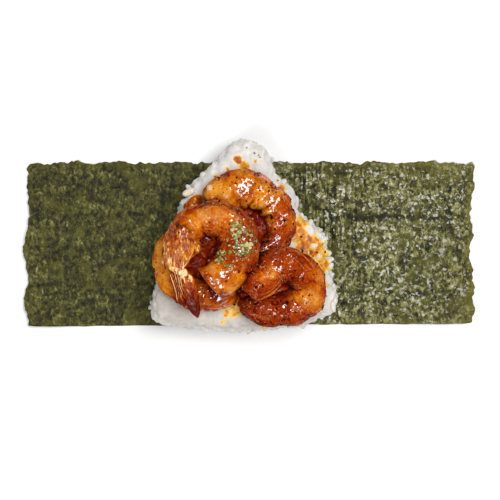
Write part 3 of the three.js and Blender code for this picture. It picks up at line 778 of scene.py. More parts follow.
def shrimp_body(name, seed, pressed_by):
    """Points, faces and material values of a peeled shrimp, pressed in where others lie on it."""
    curl, facts = CURLS[name], SHRIMPS[name]
    t, share, past, around = body_grid(curl.turn)
    inner, outer = np.maximum(0, -np.cos(around)), np.maximum(0, np.cos(around))
    side = np.mod(around + math.pi, 2 * math.pi) - math.pi
    middle, _, outward, _ = curl.frame(t)
    reach = inner * along(facts["deep"], t) * (along(facts["belly"], t) - 1) * share
    base = curl.skin(t, around, share, 0.0, past) - outward * reach[..., None]
    place = SEGMENTS * t + (0.25 * lumps(base, 4.0, seed) + 0.05 * np.cos(2 * around))
    groove = segment_grooves(place, inner, smoothstep(outer, 0.6, 1.0), base, seed + 7)
    pleat = belly_pleats(facts.get("pleats"), t, base, seed + 1) * smoothstep(inner, 0.3, 0.62)
    slit, lip = slit_and_lip(facts["slit"], t, side, base, seed + 2)
    fibre = lumps(space(t * BODY_LENGTH * 0.2, side * 6.5), 0.7, seed + 3)
    stripe = rim_stripes(facts.get("stripes"), t, side, base, seed + 9)
    wet = spots_at(WET, base) - spots_at(DRY, base)

    relief = layered(base, seed, (0.5, 6.5, 4), (0.3, 3.2, 5), (0.16, 1.8, 6), (0.07, 1.0, 8))
    relief = relief + 0.04 * fibre
    relief = relief + np.maximum(wet, 0) * layered(base, seed, (0.32, 2.1, 10), (0.16, 1.2, 11))
    relief = relief + 0.22 * spots_at(SPARKLES, base) * lumps(base, 1.3, seed + 13) + 1.6 * pleat
    relief = relief - 0.4 * groove - 0.5 * slit + 0.25 * lip
    relief = relief + spot_sum(PALE, base) * smoothstep(np.sin(around), 0.0, 0.6)
    points = base + unit(base - middle) * (relief * share)[..., None]

    # Darker, redder glaze pooled in grooves and the slit; painted shade on the curl's inner side, on its
    # underside and in the pleats' creases, and painted light on their crests.
    recess = 0.45 * groove + 0.35 * slit + 0.45 * smoothstep(inner, 0.8, 1.0) - 0.8 * pleat
    recess = recess + 0.35 * smoothstep(-np.sin(around), -0.2, 0.7)
    points, recess = pressed_in(points, recess, pressed_by)
    milk = np.clip(spot_sum(MILKY, base, lambda value: smoothstep(value, 0.25, 0.8)), 0, 1)
    grids = dict(tone=glaze_tone(facts, t, place, side, outer, stripe, base),
                 milk=milk * smoothstep(lumps(base, 1.6, seed + 12), -0.9, 0.2), recess=recess,
                 fibre=np.maximum(0.6 * smoothstep(fibre, 0.35, 0.9), stripe), wet=wet,
                 char=spots_at(CHAR, points))
    values = {key: np.append(grid, grid.ravel()[[0, -1]]) for key, grid in grids.items()}
    return *closed_tube(points), values


def shrimp_piece(name, seed, pressed_by, material):
    points, faces, values = shrimp_body(name, seed, pressed_by)
    piece = mesh_piece("glazed_shrimp_" + name, points, faces, material, values)
    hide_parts("shrimp_" + name)
    return piece


SHELL_RINGS, SHELL_SIDES, SHELL_DEPTH, SHELL_MIDDLE = 90, 130, 0.35, 0.92


def shell_layers(curl, around, shares):
    """Rings of the shell's outside from front to rear, then of its inside back again."""
    inner = np.maximum(0, -np.cos(around))
    point = 0.055 * np.maximum(0, np.sin(around))**4 + 0.014 * np.cos(5 * around) - 0.03
    layers = []
    for share, depth in [(s, 0.0) for s in shares] + [(s, SHELL_DEPTH) for s in shares[::-1]]:
        t = TAIL_SHELL["start"] + (1.0 + point - TAIL_SHELL["start"]) * share
        body = np.minimum(t, 1.0)
        swell = 1 + TAIL_SHELL["flare"] * share**1.4
        lifted = TAIL_SHELL["thickness"] * smoothstep(share, -0.05, 0.3) - depth * (0.4 + 0.6 * share)
        narrowed = 1 + inner * (0.42 * np.sin(math.pi * share**0.8) - 0.38 * smoothstep(share, 0.55, 1.0))
        skin = curl.skin(body, around, swell, lifted, (t - body) * BODY_LENGTH)
        middle = curl.middle(body)
        layers.append(middle + (skin - middle) * narrowed[..., None])
    return np.array(layers)


def tail_shell_piece():
    """The shell left on the last segment: a sleeve whose rear edge runs to a point on top."""
    curl = CURLS["over"]
    around = -curl.turn * turns(SHELL_SIDES)
    shares = np.linspace(0, 1, SHELL_RINGS)
    points = shell_layers(curl, around, shares)
    out = unit(points - curl.middle(np.full(points.shape[:2], SHELL_MIDDLE)))
    along_shell = np.concatenate([shares, shares[::-1]])[:, None]
    lengthwise = space(along_shell * 16, around * 6)
    ridges = lumps(lengthwise * (0.22, 1, 1), 1.4, 31)
    creases = lumps(lengthwise * (0.35, 1, 1) + 0.8 * lumps(points, 2.5, 32)[..., None], 2.0, 33)
    crumple = 0.45 - np.abs(creases) - 0.4 * np.abs(lumps(points, 1.4, 34))
    points = points + out * (0.3 * ridges + 0.8 * crumple)[..., None]
    count = 2 * SHELL_RINGS
    base = (count - 1) * SHELL_SIDES
    rim = [[i, base + i, base + after, after] for i, after in ring_pairs(SHELL_SIDES)]
    faces = ring_faces(count, SHELL_SIDES) + rim
    # The rear end and the crumple's crests feed painted highlights in the shell's colour.
    values = dict(edge=np.repeat(along_shell**3, SHELL_SIDES, 1), painted_crest_light=crumple)
    piece = mesh_piece("tail_shell", points.reshape(-1, 3), faces, shell_look(), values)
    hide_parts("shrimp_over")
    return piece


# The blades of the tail fan: both long edges from root to tip, the height and tone at root and tip, how far
# the ribs reach, and for each rib its place across, its width and how strong it is.
FINS = (
    dict(left=((-32.6, -12.6), (-31.4, -16), (-30.3, -20), (-30.1, -23.2), (-27.9, -24.4), (-25.8, -25.5)),
         right=((-29.4, -10.8), (-28.4, -14.6), (-27.4, -18.2), (-26.4, -21.4), (-25.7, -23.6),
                (-25.6, -25.4)),
         height=(38.4, 35.8), tone=(0.5, 0.85), ribs=((-0.62, 0.1, 1), (0, 0.05, 0.6), (0.5, 0.12, 0.9)),
         reach=0.9),
    dict(left=((-27.9, -12.2), (-28.1, -15.6), (-27, -19.6), (-25.6, -24), (-23.6, -27.8), (-20.9, -30.1)),
         right=((-24.6, -11.2), (-21.9, -14.8), (-20.7, -19.2), (-20.2, -23.4), (-19.9, -27),
                (-20.6, -30.1)),
         height=(39.8, 36.6), tone=(0.3, 0.92), ribs=((-0.85, 0.1, 0.9), (-0.3, 0.06, 0.4)), reach=0.55),
    dict(left=((-30.6, -9.6), (-30.2, -13.6), (-28.9, -17.6), (-27.4, -20.8), (-25.5, -23)),
         right=((-28, -9.6), (-27.9, -13.2), (-27.3, -16.8), (-26.2, -20), (-25.2, -22.9)),
         height=(41, 37.6), tone=(0.42, 0.7), ribs=((-0.6, 0.09, 0.8), (0.3, 0.16, 1)), reach=1),
)
FIN_ROWS, FIN_COLUMNS = 64, 27
FIN_KNOB = dict(at=(-26.4, -12, 40.2), radius=1.55, stretch=(1, 1.25, 0.8))


def fin_blade(fin, seed):
    """Points, faces and material values of one blade, arched across and thin at its rim."""
    s, v = np.meshgrid(np.linspace(0, 1, FIN_ROWS), np.linspace(-1, 1, FIN_COLUMNS), indexing="ij")
    left, right = along(fin["left"], s), along(fin["right"], s)
    share = (v[..., None] + 1) / 2
    ragged = np.abs(v)**12 * 0.22 * lumps(space(s * 18, v * 3), 1.1, seed)
    flat = left * (1 - share) + right * share + unit(right - left) * (ragged * np.sign(v))[..., None]
    place = space(flat[..., 0], flat[..., 1], fin["height"][0] + (fin["height"][1] - fin["height"][0]) * s)
    wander = 0.1 * lumps(space(s * 3, 0), 1.0, seed + 3)
    rib = sum(strength * bell(v - at * (1 - 0.3 * s), wander, wide) for at, wide, strength in fin["ribs"])
    rib = np.clip(rib, 0, 1) * (1 - smoothstep(s, fin["reach"] - 0.4, fin["reach"]))
    body = 0.7 * (1 - 0.7 * s) * (1 - 0.85 * v**2) + 0.18
    camber = 1.0 * (1 - v**2) * (1 - 0.5 * s)
    crinkle = 0.16 * lumps(place, 1.9, seed + 1) + 0.1 * lumps(place * (1.6, 0.5, 1), 1.0, seed + 2)
    lifts = (camber + body / 2 + 0.35 * rib + crinkle, camber - body / 2)
    points = np.concatenate([(place + space(0, 0, lift)).reshape(-1, 3) for lift in lifts])
    tone = fin["tone"][0] + (fin["tone"][1] - fin["tone"][0]) * smoothstep(s, 0.1, 0.65)
    tone = tone - 0.9 * smoothstep(s, 0.9, 0.98)
    return points, sheet_faces(FIN_ROWS, FIN_COLUMNS), np.tile(tone.ravel(), 2), np.tile(rib.ravel(), 2)


def tail_fin_piece():
    """The tail fan, with the pale knuckle that its blades spring from."""
    knob, knob_faces = ball(14, 24)
    knob = knob * FIN_KNOB["stretch"] * (1 + 0.35 * lumps(knob, 0.8, 61))[:, None] * FIN_KNOB["radius"]
    pieces = [fin_blade(fin, 41 + 5 * number) for number, fin in enumerate(FINS)]
    pieces.append((knob + FIN_KNOB["at"], knob_faces, np.full(len(knob), -0.4), np.zeros(len(knob))))
    points, faces = joined([piece[:2] for piece in pieces])
    tone, rib = (np.concatenate([piece[i] for piece in pieces]) for i in (2, 3))
    piece = mesh_piece("tail_fins", points, faces, fin_look(), dict(tone=tone, rib=rib))
    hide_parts("shrimp_over")


# Thin edges of skin that stand up from the meat: where each runs, half its width, its tone and paleness.
FLAPS = (
    dict(path=((2.9, -22.4), (5.4, -21.7), (8.4, -20.2), (10.8, -18.1), (12.8, -15.8)), half=0.5, tone=0.42),
    dict(path=((4, -20.6), (6.6, -19.8), (9.1, -18.1), (11.1, -15.8)), half=0.38, tone=0.5),
    dict(path=((15.5, -2.6), (19, -3), (22.6, -5.4), (25.4, -8.6), (28, -12.4)), half=0.5, tone=0.42),
    dict(path=((14, -5.2), (18, -6), (21, -8.6), (22.8, -11.4)), half=0.35, tone=0.5),
    dict(path=((-22, 0.6), (-22.6, -2.7), (-24.2, -6.2), (-26.4, -9.4)), half=0.3, tone=-0.2, milk=0.4),
    dict(path=((-27, 2), (-27.6, -2.3), (-28.9, -9.4)), half=0.22, tone=0.1, milk=0.1),
    dict(path=((-24.6, 2.4), (-25.9, -3.1), (-27, -8.6)), half=0.2, tone=0.05, milk=0.25),
    dict(path=((-30.2, 3), (-31, -2.5), (-30.6, -7.8)), half=0.28, tone=0.3, milk=0),
)
FLAP_RINGS, FLAP_SIDES, FLAP_REACH = 70, 10, 2.5
MEAT_BIT = dict(at=(-23.2, 16.6, 23.6), half=(3.8, 3, 2), turn=0.9)


def meat_bit():
    """A small torn bit of shrimp that lies on the rice beside the others."""
    points, faces = ball(30, 48)
    points = points * (1 + 0.28 * lumps(points, 0.8, 86) + 0.1 * lumps(points, 0.35, 88))[:, None]
    x, y, z = (points * MEAT_BIT["half"]).T
    cos, sin = math.cos(MEAT_BIT["turn"]), math.sin(MEAT_BIT["turn"])
    return space(x * cos - y * sin, x * sin + y * cos, z) + MEAT_BIT["at"], faces


def highest(skins, x, y):
    """The highest place of any of the skins near a point of the plan."""
    found = [skin.under(x, y, FLAP_REACH) for skin in skins.values()]
    return max((place[0] for place in found if place is not None), key=lambda spot: spot[2])


def flap_middle(path, skins):
    """The line of a flap, draped over what is below it."""
    middle = np.array([highest(skins, x, y) for x, y in path])
    middle[:, :2] = path
    middle[:, 2] = np.maximum(middle[:, 2], np.median(middle[:, 2]) - 1.5)
    middle[1:-1, 2] = (middle[:-2, 2] + middle[2:, 2]) / 2
    return middle


def flap_tube(flap, skins, seed):
    """Points and faces of one flap, thinner towards its ends."""
    s, turn = np.linspace(0, 1, FLAP_RINGS), turns(FLAP_SIDES)
    middle = flap_middle(along(flap["path"], s), skins)
    ahead = unit(np.gradient(middle, axis=0))
    side = unit(np.cross(UP, ahead))
    up = np.cross(ahead, side)
    wobble = 1 + 0.45 * lumps(middle, 1.6, seed)
    size = flap["half"] * wobble * np.minimum(1, np.minimum(s, 1 - s) / 0.15) ** 0.6
    tube = (middle[:, None] + side[:, None] * (np.cos(turn) * size[:, None])[..., None]
            + up[:, None] * (np.sin(turn) * 0.8 * size[:, None])[..., None])
    tube += 0.12 * lumps(tube, 0.9, 85)[..., None]
    points, faces = closed_tube(tube)
    return points, flipped(faces)


def flaps_piece(skins, material):
    """The thin edges of skin, and the torn bit of meat."""
    parts = [flap_tube(flap, skins, 81 + number) for number, flap in enumerate(FLAPS)]
    count = len(parts[0][0])
    tones = [np.full(count, flap["tone"]) for flap in FLAPS]
    milk = [np.full(count, flap.get("milk", 0.06)) for flap in FLAPS]
    parts.append(meat_bit())
    tones.append(0.3 + 0.35 * lumps(parts[-1][0], 1.5, 87))
    milk.append(np.zeros(len(tones[-1])))
    tone = np.concatenate(tones)
    none = np.zeros(len(tone))
    values = dict(tone=tone, recess=none, fibre=none, milk=np.concatenate(milk), wet=none + 0.1, char=none)
    mesh_piece("skin_flaps", *joined(parts), material, values)


# ---------------------------------------------------------------- rice

RIM_POINTS, SIDE_POINTS, CORNER_POINTS = 240, 80, 60


def outward_of(directions):
    """The way out of an anticlockwise ring, from the way along it."""
    return np.stack([directions[:, 1], -directions[:, 0]], -1)


def rice_outline():
    """The triangle seen from above, anticlockwise: an arc round each corner, a swelling side between."""
    corners, radius = np.array(RICE["corners"]), RICE["corner_radius"]
    normals = outward_of(unit(np.roll(corners, -1, 0) - corners))
    path = []
    for i, bulge in enumerate(RICE["bulge"]):
        following = (i + 1) % 3
        start, end = (corners[corner] + normals[i] * radius for corner in (i, following))
        control = (start + end) / 2 + normals[i] * 2 * bulge
        s = np.linspace(0, 1, SIDE_POINTS)[:, None]
        path.append((1 - s)**2 * start + 2 * s * (1 - s) * control + s**2 * end)
        first, last = (math.atan2(normals[corner][1], normals[corner][0]) for corner in (i, following))
        angles = np.linspace(first, last + (2 * math.pi if last < first else 0), CORNER_POINTS)[1:-1]
        path.append(corners[following] + radius * np.stack([np.cos(angles), np.sin(angles)], -1))
    path = np.concatenate(path)
    steps = np.concatenate([[0], np.cumsum(np.linalg.norm(np.roll(path, -1, 0) - path, axis=1))])
    path = np.concatenate([path, path[:1]])
    spaced = np.linspace(0, steps[-1], RIM_POINTS, endpoint=False)
    return np.stack([np.interp(spaced, steps, path[:, axis]) for axis in (0, 1)], -1)


OUTLINE = rice_outline()


def ring_directions(ring):
    return unit(np.roll(ring, -1, 0) - np.roll(ring, 1, 0))


def rice_ring(extra_inset=0.0):
    """The uneven outline of the rice, drawn in from its rim."""
    swell = np.zeros(RIM_POINTS)
    for x, y, reach, size in RICE["unevenness"]:
        swell += reach * np.exp(-far(OUTLINE, x, y, size)**2)
    return OUTLINE + outward_of(ring_directions(OUTLINE)) * (swell - RICE["inset"] - extra_inset)[:, None]


RIM_RING = rice_ring()
INNER_RING = rice_ring(RICE["edge"])
MIDDLE = INNER_RING.mean(0)


def rice_height(points):
    """The height of the rice's upper surface, rounded off towards its outline."""
    away = points[:, :2] - MIDDLE
    rim = RIM_RING - MIDDLE
    rim_angle = np.arctan2(rim[:, 1], rim[:, 0])
    order = np.argsort(rim_angle)
    reach = np.interp(np.arctan2(away[:, 1], away[:, 0]), rim_angle[order],
                      np.linalg.norm(rim, axis=1)[order], period=2 * math.pi)
    inward = reach - np.linalg.norm(away, axis=1)
    edge = RICE["edge"]
    drop = edge - np.sqrt(np.maximum(0, edge**2 - np.clip(edge - inward, 0, edge)**2))
    return np.where(inward < 0, RICE["bottom"], RICE_TOP - drop)


def near_top(height, below, near):
    """0 where a height is this far below the rice's top or more, and 1 where it is nearer to it."""
    return smoothstep(height, RICE_TOP - below, RICE_TOP - near)


def rice_core():
    """Points and faces of the pressed rice under its grains."""
    edge, bottom = RICE["edge"], RICE["bottom"]
    rings = []
    for degrees in (-90, -60, -35, -15, 0):
        rise = math.radians(degrees)
        rings.append((rice_ring(edge * (1 - math.cos(rise))), bottom + edge * (1 + math.sin(rise))))
    for z in (9, 12, 15):
        rings.append((RIM_RING, bottom + z))
    for degrees in (0, 15, 30, 45, 60, 75, 90):
        rise = math.radians(degrees)
        rings.append((rice_ring(edge * (1 - math.cos(rise))), RICE_TOP - edge * (1 - math.sin(rise))))
    for share in (0.92, 0.82, 0.7, 0.57, 0.43, 0.28, 0.14):
        rings.append((MIDDLE + (INNER_RING - MIDDLE) * share, RICE_TOP + RICE["dome"] * (1 - share**2)))
    points = np.array([space(*ring.T, z) for ring, z in rings])
    points = points + 0.35 * lumps(points, 3.0, 51)[..., None] * np.array([1, 1, 0.4])
    points[..., 2] = np.maximum(points[..., 2], bottom)
    return closed_tube(points, [[*MIDDLE, bottom], [*MIDDLE, RICE_TOP + RICE["dome"]]])


GRAIN_RINGS, GRAIN_SIDES, GRAIN_SHAPES = 7, 10, 24
# The layers of grains: how far apart, how far out of the core, and how many places are tried.
GRAIN_LAYERS = ((2.25, 0.25, 12000), (1.45, -0.45, 14000))
GRAIN_TURNS, GRAIN_TILT, GRAIN_UNEVENNESS = 4, 0.12, 0.12


def grain_shape(rng):
    """One cooked short grain lying along X: plump, a little bent, blunter at one end."""
    length = GRAIN["length"] * rng.uniform(0.86, 1.08)
    width = GRAIN["width"] * rng.uniform(0.88, 1.06)
    thick = GRAIN["thickness"] * rng.uniform(0.88, 1.06)
    bend, taper = rng.uniform(-0.35, 0.35), rng.uniform(-0.14, 0.14)
    turn = turns(GRAIN_SIDES)
    x = np.cos(np.linspace(math.pi, 0, GRAIN_RINGS + 2)[1:-1])[:, None]
    fullness = (1 - np.abs(x)**2.6)**0.5 * (1 + taper * x)
    y = fullness * np.cos(turn) * width / 2 + bend * (1 - x**2)
    z = fullness * np.sin(turn) * thick / 2
    points, faces = closed_tube(space(x * length / 2, y, z), [[-length / 2, 0, 0], [length / 2, 0, 0]])
    return points, flipped(faces)


def surface_samples(points, faces, count, rng):
    """Random places on a surface, with the outward normal of each."""
    triangles = [[face[0], face[i], face[i + 1]] for face in faces for i in range(1, len(face) - 1)]
    first, second, third = points[np.array(triangles)].transpose(1, 0, 2)
    normal = np.cross(second - first, third - first)
    area = np.linalg.norm(normal, axis=1)
    chosen = rng.choice(len(area), count, p=area / area.sum())
    a, b = rng.random((2, count))
    a, b = np.where(a + b > 1, 1 - a, a), np.where(a + b > 1, 1 - b, b)
    spots = first[chosen] + (second - first)[chosen] * a[:, None] + (third - first)[chosen] * b[:, None]
    return spots, unit(normal[chosen])


def grain_direction(normal, rng):
    """A random way along a surface, tilted a little out of it or into it."""
    direction = rng.normal(size=3)
    direction -= normal * direction.dot(normal)
    return unit(unit(direction) + normal * rng.uniform(-GRAIN_TILT, GRAIN_TILT))


def grain_places(core_points, core_faces, rng):
    """Where grains lie: a closely packed layer, then more in the gaps between them, set deeper."""
    tries = sum(layer[2] for layer in GRAIN_LAYERS)
    spots, normals = surface_samples(core_points, core_faces, tries, rng)
    seen = (spots[:, 2] > RICE["bottom"] + 1.2) & (normals[:, 2] > -0.8)
    reach = GRAIN["length"]
    arms = np.array([-0.36, 0.0, 0.36])[:, None] * reach
    grid, places, first = {}, [], 0
    for apart, depth, tries in GRAIN_LAYERS:
        for i in first + np.flatnonzero(seen[first:first + tries]):
            spot, normal = spots[i], normals[i]
            level = depth + rng.uniform(-GRAIN_UNEVENNESS, GRAIN_UNEVENNESS)
            cell = tuple((spot // reach).astype(int))
            near = [dots for steps in np.ndindex(3, 3, 3)
                    for dots in grid.get(tuple(c + step - 1 for c, step in zip(cell, steps)), ())]
            others = np.concatenate(near) if near else np.empty((0, 3))
            for _ in range(GRAIN_TURNS):
                direction = grain_direction(normal, rng)
                dots = spot + direction * arms
                if np.all(np.linalg.norm(dots[:, None] - others[None], axis=-1) > apart):
                    grid.setdefault(cell, []).append(dots)
                    places.append((spot + normal * level, direction, normal))
                    break
        first += tries
    centres = np.array([place[0] for place in places])
    hidden = np.any([curl.inside(centres, 0.6)[0] < 1 for curl in CURLS.values()], 0)
    return [place for place, under in zip(places, hidden) if not under]


# Where the sauce has run onto the rice: x, y, radius and strength, then spots that it missed.
STAINS = (
    (27, 9.8, 1.3, 1), (24.9, 2.4, 1.8, 1), (22.1, -1.9, 1.2, 1), (25.5, -3.2, 1.5, 0.85),
    (19.8, 8.4, 1.5, 0.9), (19, 4.4, 1.6, 0.8), (22, 9, 3.5, 0.5), (21, 4, 4, 0.62), (23, -1, 4.5, 0.62),
    (27, 0, 4.5, 0.55), (29, -4, 4, 0.6), (27, 7, 4, 0.38), (31, -9, 3.5, 0.5), (28, 12.5, 1.6, 0.6),
    (30.5, 3.5, 1.6, 0.3), (-4.8, 34.7, 1.5, 0.95), (-2.3, 32.6, 2, 0.7), (-8.9, 31.1, 1, 0.8),
    (2.6, 34.3, 0.8, 0.7), (-20.5, 17, 3.4, 1), (-24.5, 13.5, 2, 0.7), (-13.6, 28.2, 1.2, 0.5),
    (11.9, 26.4, 0.7, 0.8), (13.2, 23.1, 1.6, 0.6), (-25, 21.5, 3.2, 0.15), (-6, -27.5, 3.4, 0.42),
    (-9.5, -28.5, 1.4, 0.5), (-11, -31.6, 1, 0.5), (-14, -32, 0.6, 0.4), (19.5, -32.5, 1.6, 0.6),
    (6, -34.5, 1, 0.6), (32, -17, 1.5, 0.3), (-15, -1, 9, 1.2), (2, 6, 8, 1.1), (14.5, -19, 6, 1.2),
    (-20, -8, 9, 1.2), (5, -6, 7, 1.1), (-3, -20, 5, 0.8), (10, -12, 6, 1.1), (18, -12, 6, 1.1),
)
CLEAN = ((26.6, 6.7, 2.9), (26.8, -0.3, 1.3), (28.6, -4.8, 1.2), (30, 3, 1.4))
# Single grains that stick out: x, y, height and the way they point, in degrees from X.
STRAY_GRAINS = (
    (-25.1, 21.5, RICE_TOP + 0.6, 23), (29.6, 1.2, RICE_TOP - 3.5, 35), (31.4, -3, RICE_TOP - 4, -20),
    (32.6, -6.6, RICE_TOP - 5, 12), (33, -9.8, RICE_TOP - 4.5, 50),
)


def stain_at(points):
    """How much sauce there is at points of the rice."""
    total = np.zeros(len(points))
    splashed = points[:, :2] + 0.9 * np.stack([lumps(points, 2.0, 92), lumps(points, 2.0, 93)], -1)
    for x, y, radius, strength in STAINS:
        total = np.maximum(total, strength * np.exp(-far(splashed, x, y, radius)**4))
    for curl in CURLS.values():
        total = np.maximum(total, 0.5 * np.clip(1.35 - curl.inside(points)[0], 0, 0.35) / 0.35)
    for x, y, radius in CLEAN:
        total = total * (1 - 0.85 * np.exp(-far(splashed, x, y, radius)**4))
    return total * near_top(points[:, 2], 9, 1)


def lower_left_shade_at(points):
    """The share of painted shade on the rice, most at the lower left near its top, where the rice is also
    smoothed more.
    """
    x, y, z = points.T
    lower_left_shade = (0.15 + 0.6 * near_top(z, 4, 0.5)) * smoothstep(-y - 0.35 * x, 4, 26)
    return lower_left_shade * (0.8 + 0.2 * lumps(points, 7.0, 91))


def placed(shape, spot, direction, normal):
    """A shape lying along X moved to a spot, turned to lie along a direction with its Z near the normal."""
    side = unit(np.cross(normal, direction))
    return spot + shape @ np.stack([direction, side, np.cross(direction, side)])


def edge_grains(rng):
    """Grains that stand out from the sides of the rice, at any height, and the stray ones."""
    chord = ring_directions(RIM_RING)
    places = []
    for (x, y), tangent, outward in zip(RIM_RING, chord, outward_of(chord)):
        ragged = 0.8 if x > 12 and -28 < y < 12 else 0.08
        tangent, outward = np.array([*tangent, 0]), np.array([*outward, 0])
        for _ in range(2):
            if rng.random() > ragged:
                continue
            z = RICE["bottom"] + rng.uniform(2.5, 19.5)
            direction = tangent * rng.uniform(-0.9, 0.9) + outward * rng.uniform(0.1, 0.9)
            direction = unit(direction + UP * rng.uniform(-0.5, 0.5))
            spot = np.array([x, y, z]) + outward * rng.uniform(-1.3, 0.1)
            places.append((spot, direction, unit(outward + UP * 0.4)))
    for x, y, z, degrees in STRAY_GRAINS:
        direction = np.array([math.cos(math.radians(degrees)), math.sin(math.radians(degrees)), 0.05])
        places.append((np.array([x, y, z]), unit(direction), UP))
    return places


def fused(points, faces, voxel):
    """One closed skin round everything."""
    mesh = mesh_of("loose", points, faces)
    loose = linked("loose", mesh)
    remesh = loose.modifiers.new("fuse", "REMESH")
    remesh.mode = "VOXEL"
    remesh.voxel_size = voxel * MM
    result = bpy.data.meshes.new_from_object(loose.evaluated_get(bpy.context.evaluated_depsgraph_get()))
    points = vertex_values(result, "co") / MM
    faces = [list(polygon.vertices) for polygon in result.polygons]
    bpy.data.objects.remove(loose)
    bpy.data.meshes.remove(mesh)
    bpy.data.meshes.remove(result)
    return points, faces


def softened(points, faces, rounds, share):
    """Points drawn towards their neighbours, each by its own share, which fills creases."""
    corners = np.array(faces)
    edges = np.concatenate([corners[:, [i, (i + 1) % 4]] for i in range(4)])
    ends, others = edges.T
    count = np.maximum(np.bincount(ends, minlength=len(points)), 1)
    for _ in range(rounds):
        mean = np.stack([np.bincount(ends, points[others, axis], len(points)) for axis in range(3)], -1)
        points = points + share[:, None] * (mean / count[:, None] - points)
    return points


RICE_VOXEL, PRESSED, SOFTENING_ROUNDS = 0.455, 0.5, 12
TOP_SOFTENING, SIDE_SOFTENING, LOWER_LEFT_SOFTENING = 0.5, 0.06, 0.4


def pressed_flat(points):
    """Points of the top drawn to one smooth level, as a mould's lid leaves it."""
    core = rice_height(points)
    pressed = near_top(points[:, 2], 2.5, 1) * near_top(core, 1.6, 0.4)
    level = core + 0.45 + 0.12 * lumps(points, 1.3, 94) + 0.1 * lumps(points, 2.6, 95)
    points[:, 2] += PRESSED * pressed * (level - points[:, 2])
    points[:, 2] = np.maximum(points[:, 2], RICE["bottom"])
    return points


def rice_piece(name, points, faces):
    piece = mesh_piece(name, points, faces, rice_look(), dict(stain=stain_at(points), lower_left_shade=lower_left_shade_at(points)))
    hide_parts("rice_triangle")
    return piece


def rice_pieces():
    """The core with its grains fused on, and the loose grains at its sides."""
    rng = np.random.default_rng(11)
    core = rice_core()
    shapes = [grain_shape(rng) for _ in range(GRAIN_SHAPES)]

    def grains(places):
        chosen = [shapes[rng.integers(len(shapes))] for _ in places]
        return [(placed(shape, *place), faces) for (shape, faces), place in zip(chosen, places)]

    points, faces = fused(*joined([core] + grains(grain_places(*core, rng))), RICE_VOXEL)
    share = SIDE_SOFTENING + (TOP_SOFTENING - SIDE_SOFTENING) * near_top(points[:, 2], 7, 1)
    share = share + LOWER_LEFT_SOFTENING * lower_left_shade_at(points)
    points = softened(points, faces, SOFTENING_ROUNDS, share)
    piece = rice_piece("rice", pressed_flat(points), faces)
    rice_piece("rice_grains", *joined(grains(edge_grains(rng))))
    return piece


# ---------------------------------------------------------------- sauce, pepper, herbs


class Skin:
    """The upper surface of a piece, for small things to lie on."""

    def __init__(self, piece):
        self.points = vertex_values(piece.data, "co") / MM
        self.normals = vertex_values(piece.data, "normal")

    def under(self, x, y, reach=0.6):
        """The highest place near a point of the plan and its normal, or None."""
        away = far(self.points, x, y)
        if away.min() > reach:
            return None
        i = int(np.argmax(np.where(away < max(0.6, away.min() + 0.1), self.points[:, 2], -1e9)))
        return self.points[i], self.normals[i]


FLAKE_THICKNESS, FLAKE_SIDES = 0.16, 7


def flake(rng, radius, narrow):
    """A small uneven leaf fragment, lying flat and a little bent."""
    sides = FLAKE_SIDES
    turn = turns(sides) + rng.uniform(-0.25, 0.25, sides)
    reach = radius * rng.uniform(0.6, 1.1, sides)
    x, y = reach * np.cos(turn), narrow * reach * np.sin(turn)
    z = rng.uniform(-0.25, 0.25) / radius * x**2
    faces = [list(range(sides)), list(range(2 * sides - 1, sides - 1, -1))]
    faces += [[i, i + sides, after + sides, after] for i, after in ring_pairs(sides)]
    return np.concatenate([space(x, y, z + FLAKE_THICKNESS), space(x, y, z)]), faces


GOLDEN = (1 + math.sqrt(5)) / 2
CRUMB_CORNERS = np.array([corner for a in (-1, 1) for b in (-GOLDEN, GOLDEN)
                          for corner in ((0, a, b), (a, b, 0), (b, 0, a))])


def crumb_faces():
    """The twenty faces of the icosahedron, each between three corners that are neighbours."""
    near = np.linalg.norm(CRUMB_CORNERS[:, None] - CRUMB_CORNERS[None], axis=-1) < 2.1
    faces = []
    for i in range(12):
        for j in range(i + 1, 12):
            for k in range(j + 1, 12):
                if near[i, j] and near[j, k] and near[i, k]:
                    a, b, c = CRUMB_CORNERS[[i, j, k]]
                    faces.append([i, j, k] if np.dot(np.cross(b - a, c - a), a) > 0 else [i, k, j])
    return faces


CRUMB_FACES = crumb_faces()


def crumb(rng, radius):
    """A small uneven crushed bit."""
    points = unit(CRUMB_CORNERS) * radius * rng.uniform(0.65, 1.15, (12, 1))
    return points * np.array([1, rng.uniform(0.5, 1.0), rng.uniform(0.4, 0.8)]), CRUMB_FACES


def laid(shape, spot, normal, rng):
    """A small shape moved to a spot, its Z along the normal, turned at random."""
    side = unit(np.cross(normal, unit(rng.normal(size=3))))
    return spot + shape @ np.stack([side, np.cross(normal, side), normal])


def scattered(name, parts, tints, material):
    """One piece of many small bits, each with its own tint."""
    tint = np.concatenate([np.full(len(points), tint) for (points, _), tint in zip(parts, tints)])
    mesh_piece(name, *joined(parts), material, dict(tint=tint), smooth=False)


# Sauce and juices that fill the space inside and between the curls, painted dark as shade too: x, y, half
# sizes, height and redness.
POOLS = (
    (-15.3, -1.5, 7.5, 8, 30, 0.15), (-22, -8.5, 5.5, 6.5, 30.5, 0.25), (3, 7.5, 7, 7, 28.5, 0.2),
    (-2, 13.5, 5, 5, 28, 0.1), (14.4, -20, 5, 4.5, 28.5, 0.3), (8.5, -23.5, 7, 4.5, 29.3, 0.45),
    (-2.5, -19, 4.5, 4, 28, 0.1), (8, -1.5, 6.5, 4.5, 30.5, 0.5), (-6, -15, 5, 5, 29, 0.1),
)
POOL_RINGS, POOL_SIDES = 16, 48


